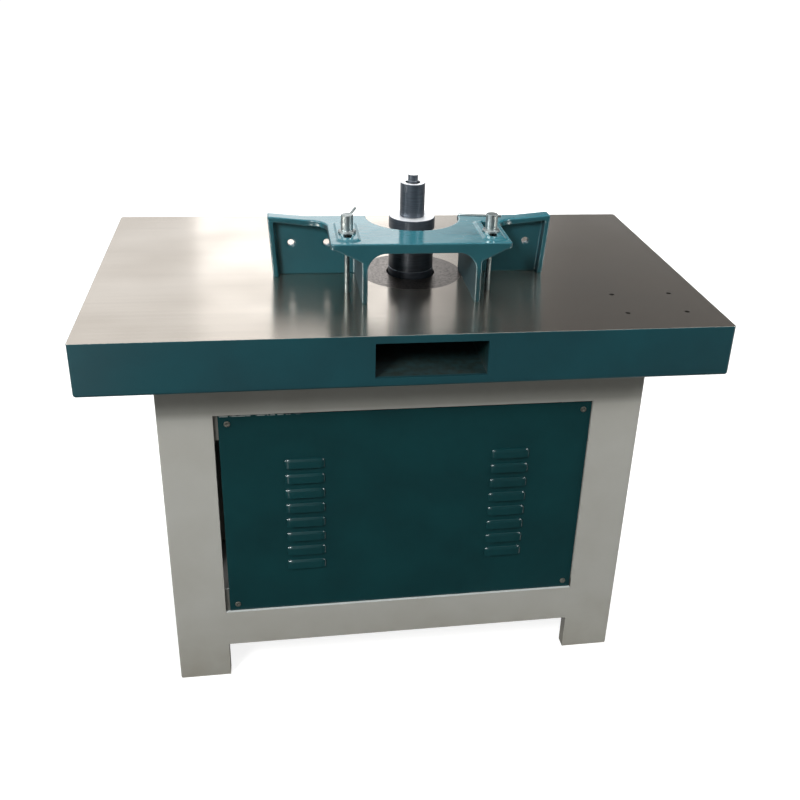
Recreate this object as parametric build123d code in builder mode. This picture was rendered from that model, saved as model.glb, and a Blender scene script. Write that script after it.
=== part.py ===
"""Spindle moulder with a cast table, a folded sheet cabinet, a lifting spindle and a cast fence.

Millimetres, +Z up. The origin is on the floor under the middle of the table, +X runs along the
table, and +Y points to the operator, so the chip slot and the louvred panel face -Y.
"""

import os
from math import atan, cos, degrees, radians, sin, tan

from build123d import *

os.makedirs("parts", exist_ok=True)

# Table casting
table_length = 1200
table_depth = 720
table_height = 850
apron_height = 102
apron_wall = 16
apron_corner = 6
top_chamfer = 1
plate_thickness = 15
seat_rib = 30
stiffener_wall = 12
stiffener_height = 25

# Working line: the spindle axis, and the middle of the fence and the chip chute
spindle_x = 25
spindle_y = -34
fence_x = 23

# Insert ring and its seat
ring_diameter = 210
ring_bore = 100
ring_thickness = 10
ring_ledge = 10
ring_boss_wall = 20
ring_boss_depth = 30

# Chip chute under the table
chute_width = 206
chute_height = 68
chute_wall = 10

# Tapped holes for a power feeder
feeder_end_inset = 128
feeder_edge_inset = 125
feeder_spacing_x = 120
feeder_spacing_y = 97
feeder_hole_diameter = 10.2

# Cabinet of folded sheet
end_overhang = 118
edge_overhang = 110
sheet = 3
bend_radius = 5
foot_width = 106
foot_return = 100
foot_height = 84
edge_fold = 26
top_flange = 40
window_post = 104
window_head = 104
window_sill = 170
window_fold = 15

# Louvred panel
panel_thickness = 2
panel_recess = 5
panel_gap_left = 9
panel_gap_right = 1
panel_gap_top = 4
panel_gap_bottom = 0.5
panel_screw_inset = 17
louvre_length = 80
louvre_rise = 7.5
louvre_height = 20
louvre_lean = 10
louvre_skin = 1.5
louvre_count = 8
louvre_pitch = 35
louvre_column_spacing = 420
louvre_lowest = 103.5
tab_width = 38
tab_height = 57
tab_thickness = 3

# Fence casting
fence_front = 177
fence_back = 8
bridge_half_width = 172
bridge_top = 118
bridge_skin = 12
bridge_wall = 12
bridge_wall_height = 19
bridge_end_height = 7
bridge_corner = 8
cutter_gap_radius = 94
gap_lip = 8
arch_radius = 35
leg_span = 206
leg_wall = 11
gusset_drop = 36
wing_half_length = 286
wing_taper = 8
wing_top = 125
wing_wall = 14
wing_rim = 11
wing_depth = 32
wing_blend = 40
board_hole_diameter = 14
board_hole_inner = 170
board_hole_outer = 241
board_hole_height = 66
pad_width = 40
pad_length = 121
pad_rise = 3
pad_corner = 12
pad_groove_inset = 2.5
pad_groove_width = 2
pad_groove_depth = 1
slot_offset = 139.5
slot_width = 14
slot_length = 98
slot_middle = -94
cast_edge = 2
pad_edge = 1.5

# Fence studs and clamp nuts
stud_diameter = 10
stud_set_back = -112
stud_boss_diameter = 30
stud_boss_depth = 20
nut_diameter = 23
nut_height = 35
nut_flange_diameter = 34
nut_flange_height = 5
nut_roof = 6
nut_flange_chamfer = 2
nut_chamfer = 1
lever_hole_drop = 7.5
lever_diameter = 5
lever_reach = 33
lever_rise = 12
lever_bite = 8
lever_heading = 57

# Spindle and its collars
arbor_diameter = 30
journal_diameter = 35
core_diameter = 40
tail_diameter = 28
flange_diameter = 93
base_flange_height = 23
base_flange_proud = 13
collar_diameter = 91
lower_collar_height = 49
sleeve_diameter = 50
spacer_height = 17
spacer_count = 2
upper_flange_height = 24
upper_sleeve_height = 68
top_bolt_diameter = 20
top_bolt_height = 12
top_washer_diameter = 22
top_washer_height = 4
top_bolt_depth = 30
collar_edge = 1
arbor_drop = 4

# Spindle housing and bearings
lift_up = 80
lift_down = 20
neck_diameter = 90
housing_diameter = 130
housing_bottom = 380
bearing_diameter = 72
bearing_width = 17
bearing_lip = 6
cap_thickness = 8
cap_gap = 2
lower_cap_diameter = 110
flange_plate_width = 160
flange_plate_thickness = 20
flange_plate_margin = 20
web_width = 90

# Upright slideway and carriage
way_y = 95
dovetail_root = 110
dovetail_depth = 20
dovetail_angle = 30
slideway_width = 220
slideway_margin = 25
slideway_plate = 18
channel_width = 56
channel_depth = 67
channel_wall = 16
end_wall = 15
slideway_flange = 95
slideway_pad_height = 35
carriage_front = 60
carriage_left = 175
carriage_right = 110
carriage_bottom = 420
carriage_height = 240
gib_thickness = 6

# Lift screw, bevel gears and handwheel
screw_y = 112
screw_diameter = 24
screw_journal_diameter = 20
screw_collar_diameter = 32
screw_collar_height = 8
bush_wall = 5
nut_block_width = 48
nut_block_height = 60
nut_block_back = 22
gear_teeth = 20
gear_module = 3
gear_face = 10
gear_hub_diameter = 36
gear_hub_height = 12
shaft_z = 330
shaft_diameter = 20
lug_width = 60
lug_thickness = 25
lug_gap = 8
flange_bearing_diameter = 76
flange_bearing_thickness = 10
flange_bearing_sleeve = 36
handwheel_diameter = 200
handwheel_rim = 18
handwheel_hub_diameter = 44
handwheel_hub_length = 28
handwheel_gap = 2
spoke_count = 3
crank_length = 62
crank_diameter = 24
crank_pin_diameter = 10
crank_pin_head = 4
crank_collar = 4
crank_taper = 3

# Lift lock
lock_offset = 85
lock_z = 560
lock_diameter = 14
lock_boss_diameter = 36
lock_boss_length = 22
lock_flange_diameter = 56
lock_flange_thickness = 6
lock_sleeve_diameter = 24
lever_length = 95
lever_hub_diameter = 32
lever_hub_length = 22
lever_knob_diameter = 28
lever_root_diameter = 16
lever_tip_diameter = 10

# Motor and belt drive
belt_centres = 270
spindle_pulley_diameter = 80
motor_pulley_diameter = 160
pulley_bottom = 300
pulley_width = 42
belt_pitch = 18
belt_width = 13
belt_thickness = 8
belt_flank_angle = 18
belt_lip = 0.5
groove_floor = 3
pulley_nut_flats = 41
pulley_nut_height = 18
pulley_hub_rise = 8
shaft_tail = 4
bracket_top = 368
bracket_thickness = 14
bracket_margin = 15
bracket_back_height = 232
bracket_back_width = 90
bracket_rib = 12
motor_flange_diameter = 230
motor_flange_thickness = 14
motor_bolt_circle = 200
motor_slot_length = 30
motor_core_diameter = 190
motor_fin_diameter = 216
motor_fin_count = 24
motor_fin_wall = 4
motor_length = 218
motor_shield_thickness = 14
motor_shaft_diameter = 30
stator_diameter = 150
stator_length = 130
rotor_diameter = 91
air_gap = 0.5
fan_cover_height = 54
fan_cover_wall = 2
fan_diameter = 164
fan_blades = 6
terminal_width = 80
terminal_height = 100
terminal_depth = 50
terminal_pad_depth = 24

# Switch
switch_inset = 182
switch_z = 640
switch_width = 110
switch_height = 160
switch_depth = 60
switch_wall = 2.5
button_spacing = 64
button_diameter = 25
button_proud = 9
button_flange_diameter = 32
button_flange_height = 4
stop_head_diameter = 38
stop_head_height = 8

# Fasteners, as shank diameters
table_bolt_diameter = 12
table_bolt_x = 300
table_bolt_y = 75
table_bolt_length = 35
table_bolt_inset = 18
carriage_bolt_diameter = 10
carriage_bolt_bite = 12
panel_screw_diameter = 6

# Clearances
running_clearance = 0.05
seat_clearance = 0.05
slide_clearance = 0.2
loose_clearance = 0.3
bolt_clearance = 0.25
lift_clearance = 12
neck_clearance = 4
end_gap = 1

# Levels and places worked out from the sizes above
apron_bottom = table_height - apron_height
plate_bottom = table_height - plate_thickness
feeder_x = table_length / 2 - feeder_end_inset
feeder_y = feeder_edge_inset - table_depth / 2
cabinet_width = table_length - 2 * end_overhang
cabinet_depth = table_depth - 2 * edge_overhang
window_width = cabinet_width - 2 * window_post
window_height = apron_bottom - window_sill - window_head
switch_x = switch_inset - cabinet_width / 2
chute_floor = plate_bottom - chute_height
chute_bottom = chute_floor - chute_wall
rear_y = -cabinet_depth / 2
front_y = cabinet_depth / 2
motor_x = spindle_x - belt_centres
screw_point = (spindle_x, screw_y)
spindle_point = (spindle_x, spindle_y)
motor_point = (motor_x, spindle_y)

# Which point of a rectangle is placed
from_middle_up = (Align.CENTER, Align.MIN)
from_middle_down = (Align.CENTER, Align.MAX)
from_corner = (Align.MIN, Align.MIN)
from_left = (Align.MIN, Align.CENTER)


def upright(y):
    """Plane across the machine at y, with X to the right, Z up and its normal towards -Y."""
    return Plane.XZ.offset(-y)


def toward_operator(y):
    """Plane across the machine at y, with X to the left, Z up and its normal towards +Y."""
    return Plane(origin=(0, y, 0), x_dir=(-1, 0, 0), z_dir=(0, 1, 0))


def save(builder, name):
    """Label a finished piece and write it."""
    builder.part.label = name
    export_step(builder.part, f"parts/{name}.step")


def bolt_group(plane, spots, diameter, length):
    """Hex bolts with their heads behind the plane and their shanks along its normal."""
    with BuildPart() as bolts:
        with BuildSketch(plane):
            with Locations(*spots):
                RegularPolygon(0.85 * diameter, 6, major_radius=False)
        extrude(amount=-0.65 * diameter)
        with BuildSketch(plane):
            with Locations(*spots):
                Circle(diameter / 2)
        extrude(amount=length)
    return bolts


def turned(points, axis_point):
    """A turned piece: a half profile of (radius, height) points spun about an upright axis."""
    with BuildPart() as piece:
        with BuildSketch(Plane(origin=(*axis_point, 0), x_dir=(1, 0, 0), z_dir=(0, -1, 0))):
            Polygon(*points, align=None)
        revolve(axis=Axis((*axis_point, 0), (0, 0, 1)))
    return piece


def ring_points(outer, inner, bottom, top):
    """Half profile of a plain ring, for turned()."""
    return [(inner, bottom), (outer, bottom), (outer, top), (inner, top)]


# Table: a ground plate with a deep apron, ribbed below, with the chip chute cast in
ring_recess_radius = ring_diameter / 2 + loose_clearance
ring_hole_radius = ring_diameter / 2 - ring_ledge
neck_hole_radius = neck_diameter / 2 + neck_clearance
stud_spots = [(spindle_x + side * slot_offset, spindle_y + stud_set_back) for side in (-1, 1)]
table_bolt_spots = [
    (side_x * table_bolt_x, side_y * (front_y - table_bolt_inset)) for side_x in (-1, 1) for side_y in (-1, 1)
] + [
    (side_x * (cabinet_width / 2 - table_bolt_inset), side_y * table_bolt_y)
    for side_x in (-1, 1)
    for side_y in (-1, 1)
]
slideway_pad_bottom = plate_bottom - slideway_pad_height
slideway_bolt_spots = [
    (spindle_x + side * (slideway_width / 2 - table_bolt_inset), way_y + share * slideway_flange)
    for side in (-1, 1)
    for share in (0.35, 0.8)
]

with BuildPart() as table:
    with BuildSketch(Plane.XY.offset(apron_bottom)):
        RectangleRounded(table_length, table_depth, apron_corner)
    extrude(amount=apron_height)
    fillet(table.faces().sort_by(Axis.Z)[0].edges(), apron_corner)
    chamfer(table.faces().sort_by(Axis.Z)[-1].edges(), top_chamfer)
    with BuildSketch(Plane.XY.offset(apron_bottom)):
        Rectangle(table_length - 2 * apron_wall, table_depth - 2 * apron_wall)
    extrude(amount=apron_height - plate_thickness, mode=Mode.SUBTRACT)
    # Rib frame that stands on the cabinet
    with BuildSketch(Plane.XY.offset(apron_bottom)):
        Rectangle(cabinet_width, cabinet_depth)
        Rectangle(cabinet_width - 2 * seat_rib, cabinet_depth - 2 * seat_rib, mode=Mode.SUBTRACT)
    extrude(amount=apron_height - plate_thickness)
    # Shallow stiffeners from the apron to the frame and on to the chute
    with BuildSketch(Plane.XY.offset(plate_bottom - stiffener_height)):
        with Locations((0, spindle_y)):
            Rectangle(table_length - 2 * apron_wall, stiffener_wall)
        with Locations((-table_bolt_x, 0), (table_bolt_x, 0), (fence_x, 0)):
            Rectangle(stiffener_wall, table_depth - 2 * apron_wall)
    extrude(amount=stiffener_height)
    with BuildSketch(Plane.XY.offset(slideway_pad_bottom)):
        with Locations((spindle_x, way_y + slideway_flange / 2)):
            Rectangle(slideway_width, slideway_flange)
    extrude(amount=slideway_pad_height)
    with BuildSketch(Plane.XY.offset(plate_bottom - stud_boss_depth)):
        with Locations(*stud_spots):
            Circle(stud_boss_diameter / 2)
    extrude(amount=stud_boss_depth)
    # Chute: a U-shaped trough from the apron to the spindle
    with BuildSketch(Plane.XY.offset(chute_bottom)):
        with Locations((fence_x, spindle_y)):
            Circle(chute_width / 2 + chute_wall)
            Rectangle(
                chute_width + 2 * chute_wall,
                spindle_y + table_depth / 2 - apron_wall,
                align=from_middle_down,
            )
    extrude(amount=plate_bottom - chute_bottom)
    with BuildSketch(Plane.XY.offset(chute_floor)):
        with Locations((fence_x, spindle_y)):
            Circle(chute_width / 2)
            Rectangle(chute_width, spindle_y + table_depth, align=from_middle_down)
    extrude(amount=chute_height, mode=Mode.SUBTRACT)
    with BuildSketch(Plane.XY.offset(table_height - ring_boss_depth)):
        with Locations(spindle_point):
            Circle(ring_recess_radius + ring_boss_wall)
    extrude(amount=ring_boss_depth - plate_thickness)
    with Locations((*spindle_point, table_height)):
        CounterBoreHole(ring_hole_radius, ring_recess_radius, ring_thickness, ring_boss_depth)
    with Locations((*spindle_point, chute_floor)):
        Hole(neck_hole_radius, chute_wall)
    with Locations(*[(x, y, table_height) for x, y in stud_spots]):
        Hole(stud_diameter / 2 + seat_clearance, plate_thickness + stud_boss_depth)
    with Locations((feeder_x, feeder_y, table_height)):
        with GridLocations(feeder_spacing_x, feeder_spacing_y, 2, 2):
            Hole(feeder_hole_diameter / 2, plate_thickness)
    with Locations(*[(x, y, apron_bottom) for x, y in table_bolt_spots]):
        Hole(table_bolt_diameter / 2 + bolt_clearance, table_bolt_length)
    with Locations(*[(x, y, slideway_pad_bottom) for x, y in slideway_bolt_spots]):
        Hole(table_bolt_diameter / 2 + bolt_clearance, slideway_pad_height - stiffener_wall)
save(table, "table")

table_ring = turned(
    ring_points(ring_diameter / 2, ring_bore / 2, table_height - ring_thickness, table_height),
    spindle_point,
)
save(table_ring, "table_ring")


# Cabinet: two folded ends that carry the feet, and two side sheets between them
def cabinet_end(side):
    """One end of the cabinet: a folded sheet with two feet, at y of the given sign."""
    face_y = side * cabinet_depth / 2
    inner_y = side * (cabinet_depth / 2 - foot_return)
    toward_middle = from_middle_down if side > 0 else from_middle_up
    far_half = (2 * cabinet_width, 2 * cabinet_depth)
    gap_width = cabinet_width - 2 * foot_width
    with BuildPart() as end:
        with BuildSketch(Plane.XY):
            RectangleRounded(cabinet_width, cabinet_depth, bend_radius)
            RectangleRounded(
                cabinet_width - 2 * sheet,
                cabinet_depth - 2 * sheet,
                bend_radius - sheet,
                mode=Mode.SUBTRACT,
            )
            with Locations((0, inner_y)):
                Rectangle(*far_half, align=toward_middle, mode=Mode.SUBTRACT)
        extrude(amount=apron_bottom)
        with BuildSketch(Plane.XY.offset(apron_bottom - sheet)):
            RectangleRounded(cabinet_width, cabinet_depth, bend_radius)
            Rectangle(cabinet_width - 2 * top_flange, cabinet_depth - 2 * top_flange, mode=Mode.SUBTRACT)
            with Locations((0, inner_y)):
                Rectangle(*far_half, align=toward_middle, mode=Mode.SUBTRACT)
        extrude(amount=sheet)
        # Gap between the feet, with its edges folded in
        with BuildSketch(upright(face_y)):
            Rectangle(gap_width + 2 * sheet, foot_height + sheet, align=from_middle_up)
        extrude(amount=side * edge_fold)
        with BuildSketch(upright(face_y)):
            Rectangle(gap_width, foot_height, align=from_middle_up)
        extrude(amount=side * edge_fold, mode=Mode.SUBTRACT)
        with BuildSketch(Plane.XY):
            with Locations(*[(hand * cabinet_width / 2, inner_y) for hand in (-1, 1)]):
                Rectangle(2 * edge_fold, 2 * sheet)
            Rectangle(2 * cabinet_width, 2 * abs(inner_y), mode=Mode.SUBTRACT)
            Rectangle(cabinet_width, cabinet_depth, mode=Mode.INTERSECT)
        extrude(amount=foot_height)
        with Locations(*[(x, y, apron_bottom) for x, y in table_bolt_spots if y * side > table_bolt_y]):
            Hole(table_bolt_diameter / 2 + bolt_clearance, 2 * sheet)
    return end


panel_width = window_width - panel_gap_left - panel_gap_right
panel_height = window_height - panel_gap_top - panel_gap_bottom
panel_x = (panel_gap_left - panel_gap_right) / 2
panel_z = window_sill + panel_gap_bottom + panel_height / 2
panel_face = rear_y + panel_recess
panel_back = panel_face + panel_thickness
panel_screw_x = panel_width / 2 - panel_screw_inset
panel_screw_z = panel_height / 2 - panel_screw_inset
panel_screw_spots = [
    (panel_x + side_x * panel_screw_x, panel_z + side_z * panel_screw_z)
    for side_x in (-1, 1)
    for side_z in (-1, 1)
]

with BuildPart() as rear_sheet:
    add(cabinet_end(-1).part)
    with BuildSketch(upright(rear_y)):
        with Locations((0, window_sill + window_height / 2)):
            Rectangle(window_width + 2 * sheet, window_height + 2 * sheet)
    extrude(amount=-window_fold)
    with BuildSketch(upright(rear_y)):
        with Locations((0, window_sill + window_height / 2)):
            Rectangle(window_width, window_height)
    extrude(amount=-window_fold, mode=Mode.SUBTRACT)
    # Tabs welded into the corners of the window, for the panel
    with BuildSketch(upright(panel_back)):
        with Locations((0, window_sill + window_height / 2)):
            with GridLocations(window_width - tab_width, window_height - tab_height, 2, 2):
                Rectangle(tab_width, tab_height)
        with Locations(*panel_screw_spots):
            Circle(panel_screw_diameter / 2 + bolt_clearance, mode=Mode.SUBTRACT)
    extrude(amount=-tab_thickness)
save(rear_sheet, "rear_sheet")

lock_point = (spindle_x + lock_offset, lock_z)
shaft_point = (spindle_x, shaft_z)
with BuildPart() as front_sheet:
    add(cabinet_end(1).part)
    with BuildSketch(upright(front_y)):
        with Locations(shaft_point):
            Circle(flange_bearing_sleeve / 2 + seat_clearance)
        with Locations(lock_point):
            Circle(lock_sleeve_diameter / 2 + seat_clearance)
    extrude(amount=sheet, mode=Mode.SUBTRACT)
save(front_sheet, "front_sheet")

side_length = cabinet_depth - 2 * foot_return
for side, name in ((-1, "left_side_sheet"), (1, "right_side_sheet")):
    outer_x = side * cabinet_width / 2
    with BuildPart() as side_sheet:
        with BuildSketch(Plane.YZ.offset(outer_x)):
            with Locations((0, foot_height)):
                Rectangle(side_length, apron_bottom - foot_height, align=from_middle_up)
        extrude(amount=-side * sheet)
        with BuildSketch(Plane.YZ.offset(outer_x)):
            with Locations((0, foot_height)):
                Rectangle(side_length, sheet, align=from_middle_up)
        extrude(amount=-side * edge_fold)
        with BuildSketch(Plane.YZ.offset(outer_x)):
            with Locations((0, apron_bottom)):
                Rectangle(side_length, sheet, align=from_middle_down)
        extrude(amount=-side * top_flange)
        with Locations(*[(x, y, apron_bottom) for x, y in table_bolt_spots if abs(y) <= table_bolt_y]):
            Hole(table_bolt_diameter / 2 + bolt_clearance, 2 * sheet)
    save(side_sheet, name)

table_bolts = bolt_group(
    Plane.XY.offset(apron_bottom - sheet), table_bolt_spots, table_bolt_diameter, table_bolt_length
)
save(table_bolts, "table_bolts")

# Louvred panel: pressed hoods with round ends, open below
hood_straight = louvre_length / 2 - louvre_rise
hood_lean = radians(louvre_lean)
hood_centre = (louvre_height - louvre_rise * cos(hood_lean)) / (1 - sin(hood_lean))
hood_round = louvre_height - hood_centre
with BuildPart() as louvre_hood:
    with BuildSketch(Plane.YZ):
        with BuildLine():
            outer_round = CenterArc((0, hood_centre), hood_round, 90, 90 - louvre_lean)
            inner_round = CenterArc((0, hood_centre), hood_round - louvre_skin, 90, 90 - louvre_lean)
            Line(outer_round @ 0, inner_round @ 0)
            Polyline(
                outer_round @ 1,
                (-louvre_rise, 0),
                (louvre_skin / cos(hood_lean) - louvre_rise, 0),
                inner_round @ 1,
            )
        make_face()
    extrude(amount=hood_straight)
    hood_end = louvre_hood.faces().sort_by(Axis.X)[-1]
    revolve(hood_end, axis=Axis((hood_straight, 0, 0), (0, 0, 1)), revolution_arc=90)
    mirror(about=Plane.YZ)

lowest_lip = panel_z - panel_height / 2 + louvre_lowest
louvre_spots = [
    (panel_x + side * louvre_column_spacing / 2, lowest_lip + row * louvre_pitch)
    for side in (-1, 1)
    for row in range(louvre_count)
]
with BuildPart() as rear_panel:
    with BuildSketch(upright(panel_face)):
        with Locations((panel_x, panel_z)):
            Rectangle(panel_width, panel_height)
        with Locations(*panel_screw_spots):
            Circle(panel_screw_diameter / 2 + bolt_clearance, mode=Mode.SUBTRACT)
        with Locations(*[(x, z) for x, z in louvre_spots]):
            Rectangle(
                2 * hood_straight,
                louvre_height - 2 * louvre_skin,
                align=from_middle_up,
                mode=Mode.SUBTRACT,
            )
    extrude(amount=-panel_thickness)
    with Locations(*[(x, panel_face, z) for x, z in louvre_spots]):
        add(louvre_hood.part)
save(rear_panel, "rear_panel")

with BuildPart() as panel_screws:
    with BuildSketch(upright(panel_face)):
        with Locations(*panel_screw_spots):
            Circle(panel_screw_diameter)
    extrude(amount=panel_screw_diameter / 2)
    fillet(panel_screws.faces().sort_by(Axis.Y)[:4].edges(), panel_screw_diameter / 4)
    with BuildSketch(upright(panel_face)):
        with Locations(*panel_screw_spots):
            Circle(panel_screw_diameter / 2)
    extrude(amount=-(panel_thickness + tab_thickness + panel_screw_diameter / 2))
save(panel_screws, "panel_screws")

# Fence: an arched bridge on two ribs that run back to two rimmed wings, cast in one
fence_front_y = spindle_y - fence_front
fence_back_y = spindle_y + fence_back
wing_front_y = fence_back_y - wing_depth
bridge_level = table_height + bridge_top
crown = bridge_top - bridge_wall_height
leg_inner = leg_span / 2
leg_outer = leg_inner + leg_wall
pad_middle_y = spindle_y + slot_middle - (pad_length - slot_length) / 4
slot_middle_y = spindle_y + slot_middle
wing_foot = wing_half_length - wing_taper
wing_shoulder = bridge_half_width + wing_blend
wing_outline = [
    (leg_inner, 0),
    (wing_foot, 0),
    (wing_half_length, wing_top),
    (wing_shoulder, bridge_top),
    (leg_inner, bridge_top),
]
pocket_outline = [
    (leg_outer, 0),
    (wing_foot - wing_rim, 0),
    (wing_half_length - wing_rim, wing_top - wing_rim),
    (wing_shoulder, bridge_top - bridge_skin),
    (leg_outer, bridge_top - bridge_skin),
]


def fence_plane(y):
    """Plane across the fence at y, with its origin on the table in the fence's middle."""
    return Plane(origin=(fence_x, y, table_height), x_dir=(1, 0, 0), z_dir=(0, -1, 0))


with BuildPart() as fence_casting:
    # Bridge plate, hollowed round the cutter, blending outwards into the wing rims
    with BuildSketch(Plane.XY.offset(bridge_level - bridge_skin)) as bridge_plan:
        with Locations((fence_x, fence_front_y)):
            Rectangle(2 * bridge_half_width, fence_back_y - fence_front_y, align=from_middle_up)
        with Locations((fence_x, fence_back_y)):
            Rectangle(2 * wing_foot, wing_depth, align=from_middle_down)
        inner_corners = bridge_plan.vertices().filter_by_position(
            Axis.X, fence_x - bridge_half_width, fence_x + bridge_half_width
        )
        blend_corners = inner_corners.group_by(Axis.Y)[-1]
        fillet(blend_corners, wing_blend)
        with Locations(spindle_point):
            Circle(cutter_gap_radius, mode=Mode.SUBTRACT)
            Rectangle(2 * cutter_gap_radius, fence_front, align=from_middle_up, mode=Mode.SUBTRACT)
    extrude(amount=bridge_skin)
    # Front wall: legs, arch and end gussets in one outline
    with BuildSketch(fence_plane(fence_front_y)):
        with BuildLine():
            edge_line = Polyline(
                (0, bridge_top),
                (bridge_half_width, bridge_top),
                (bridge_half_width, bridge_top - bridge_end_height),
                (leg_outer, bridge_top - gusset_drop),
                (leg_outer, 0),
                (leg_inner, 0),
                (leg_inner, crown - arch_radius),
            )
            arch = RadiusArc(edge_line @ 1, (leg_inner - arch_radius, crown), -arch_radius)
            Line(arch @ 1, (0, crown))
            mirror(about=Plane.YZ)
        make_face()
    extrude(amount=-bridge_wall)
    front_edges = fence_casting.edges().filter_by(Axis.Z).group_by(Axis.Y)[0].sort_by(Axis.X)
    fillet([front_edges[0], front_edges[-1]], bridge_corner)
    # Ribs from the front wall back to the wings
    with BuildSketch(Plane.XY.offset(table_height)):
        for side in (-1, 1):
            with Locations((fence_x + side * (leg_inner + leg_wall / 2), fence_front_y)):
                Rectangle(leg_wall, fence_back_y - fence_front_y, align=from_middle_up)
    extrude(amount=bridge_top)
    # Lip under the hollow edge
    with BuildSketch(Plane.XY.offset(table_height + crown)):
        with Locations(spindle_point):
            Circle(cutter_gap_radius + gap_lip)
            Circle(cutter_gap_radius, mode=Mode.SUBTRACT)
            Rectangle(4 * cutter_gap_radius, fence_front, align=from_middle_up, mode=Mode.SUBTRACT)
    extrude(amount=bridge_wall_height)
    # Wings: plates with a rim along the outer end and a top that rises away from the bridge
    for side in (-1, 1):
        with BuildSketch(fence_plane(fence_back_y)):
            Polygon(*[(side * x, z) for x, z in wing_outline], align=None)
        extrude(amount=wing_depth)
        with BuildSketch(fence_plane(wing_front_y)):
            Polygon(*[(side * x, z) for x, z in pocket_outline], align=None)
        extrude(amount=wing_wall - wing_depth, mode=Mode.SUBTRACT)
    # Raised pads and slots for the clamp studs
    pad_spots = [(spindle_x + side * slot_offset, pad_middle_y) for side in (-1, 1)]
    with BuildSketch(Plane.XY.offset(bridge_level)):
        with Locations(*pad_spots):
            RectangleRounded(pad_width, pad_length, pad_corner)
    extrude(amount=pad_rise)
    # Rounded edges of the casting
    pad_level = bridge_level + pad_rise
    pad_tops = fence_casting.faces().filter_by(lambda face: abs(face.center().Z - pad_level) < 0.1)
    fillet(pad_tops.edges(), pad_edge)
    wing_tops = fence_casting.faces().filter_by(lambda face: 0.9 < face.normal_at().Z < 0.9999)
    wing_edges = wing_tops.edges().filter_by(lambda edge: abs(edge.center().X - fence_x) > wing_shoulder + cast_edge)
    bridge_face = fence_casting.faces().filter_by(lambda face: abs(face.center().Z - bridge_level) < 0.1)[0]
    bridge_edges = bridge_face.outer_wire().edges().filter_by(
        lambda edge: edge.center().Y < wing_front_y - cast_edge
        and (abs(edge.center().X - fence_x) > leg_outer or edge.center().Y < fence_front_y + 0.1)
    )
    fillet(wing_edges + bridge_edges, cast_edge)
    with BuildSketch(Plane.XY.offset(pad_level)):
        for inset, mode in ((pad_groove_inset, Mode.ADD), (pad_groove_inset + pad_groove_width, Mode.SUBTRACT)):
            with Locations(*pad_spots):
                RectangleRounded(pad_width - 2 * inset, pad_length - 2 * inset, pad_corner - inset, mode=mode)
    extrude(amount=-pad_groove_depth, mode=Mode.SUBTRACT)
    with BuildSketch(Plane.XY.offset(bridge_level + pad_rise)):
        with Locations(*[(spindle_x + side * slot_offset, slot_middle_y) for side in (-1, 1)]):
            SlotOverall(slot_length, slot_width, rotation=90)
    extrude(amount=-(pad_rise + bridge_skin), mode=Mode.SUBTRACT)
    with BuildSketch(upright(fence_back_y)):
        for offset_x in (-board_hole_outer, -board_hole_inner, board_hole_inner, board_hole_outer):
            with Locations((fence_x + offset_x, table_height + board_hole_height)):
                Circle(board_hole_diameter / 2)
    extrude(amount=wing_wall, mode=Mode.SUBTRACT)
save(fence_casting, "fence_casting")

# Studs in the table, and the flanged nuts that clamp the fence
nut_bottom = bridge_level + pad_rise + slide_clearance
stud_bottom = plate_bottom - stud_boss_depth
stud_top = nut_bottom + nut_height - nut_roof - end_gap
with BuildPart() as fence_studs:
    with BuildSketch(Plane.XY.offset(stud_bottom)):
        with Locations(*stud_spots):
            Circle(stud_diameter / 2)
    extrude(amount=stud_top - stud_bottom)
save(fence_studs, "fence_studs")

stud_hole = stud_diameter / 2 + running_clearance
nut_profile = [
    (stud_hole, nut_bottom),
    (nut_flange_diameter / 2, nut_bottom),
    (nut_flange_diameter / 2, nut_bottom + nut_flange_height - nut_flange_chamfer),
    (nut_flange_diameter / 2 - nut_flange_chamfer, nut_bottom + nut_flange_height),
    (nut_diameter / 2, nut_bottom + nut_flange_height),
    (nut_diameter / 2, nut_bottom + nut_height - nut_chamfer),
    (nut_diameter / 2 - nut_chamfer, nut_bottom + nut_height),
    (0, nut_bottom + nut_height),
    (0, nut_bottom + nut_height - nut_roof),
    (stud_hole, nut_bottom + nut_height - nut_roof),
]
heading = radians(lever_heading)
lever_slope = Vector(lever_reach * cos(heading), lever_reach * sin(heading), lever_rise).normalized()
lever_crossing = nut_bottom + nut_height - lever_hole_drop
for (spot_x, spot_y), name in zip(stud_spots, ("clamp_nut_left", "clamp_nut_right")):
    hole_start = Vector(spot_x, spot_y, lever_crossing) + lever_slope * lever_bite
    with BuildPart() as clamp_nut:
        add(turned(nut_profile, (spot_x, spot_y)).part)
        with BuildSketch(Plane(origin=hole_start, z_dir=lever_slope)):
            Circle(lever_diameter / 2 + seat_clearance)
        extrude(amount=nut_diameter, mode=Mode.SUBTRACT)
    save(clamp_nut, name)

left_start = Vector(*stud_spots[0], lever_crossing) + lever_slope * lever_bite
with BuildPart() as clamp_lever:
    with BuildSketch(Plane(origin=left_start, z_dir=lever_slope)):
        Circle(lever_diameter / 2)
    extrude(amount=(lever_reach**2 + lever_rise**2) ** 0.5 - lever_bite)
    chamfer(clamp_lever.edges().sort_by(Axis.Z)[-1], lever_diameter / 8)
save(clamp_lever, "clamp_lever")

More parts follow.
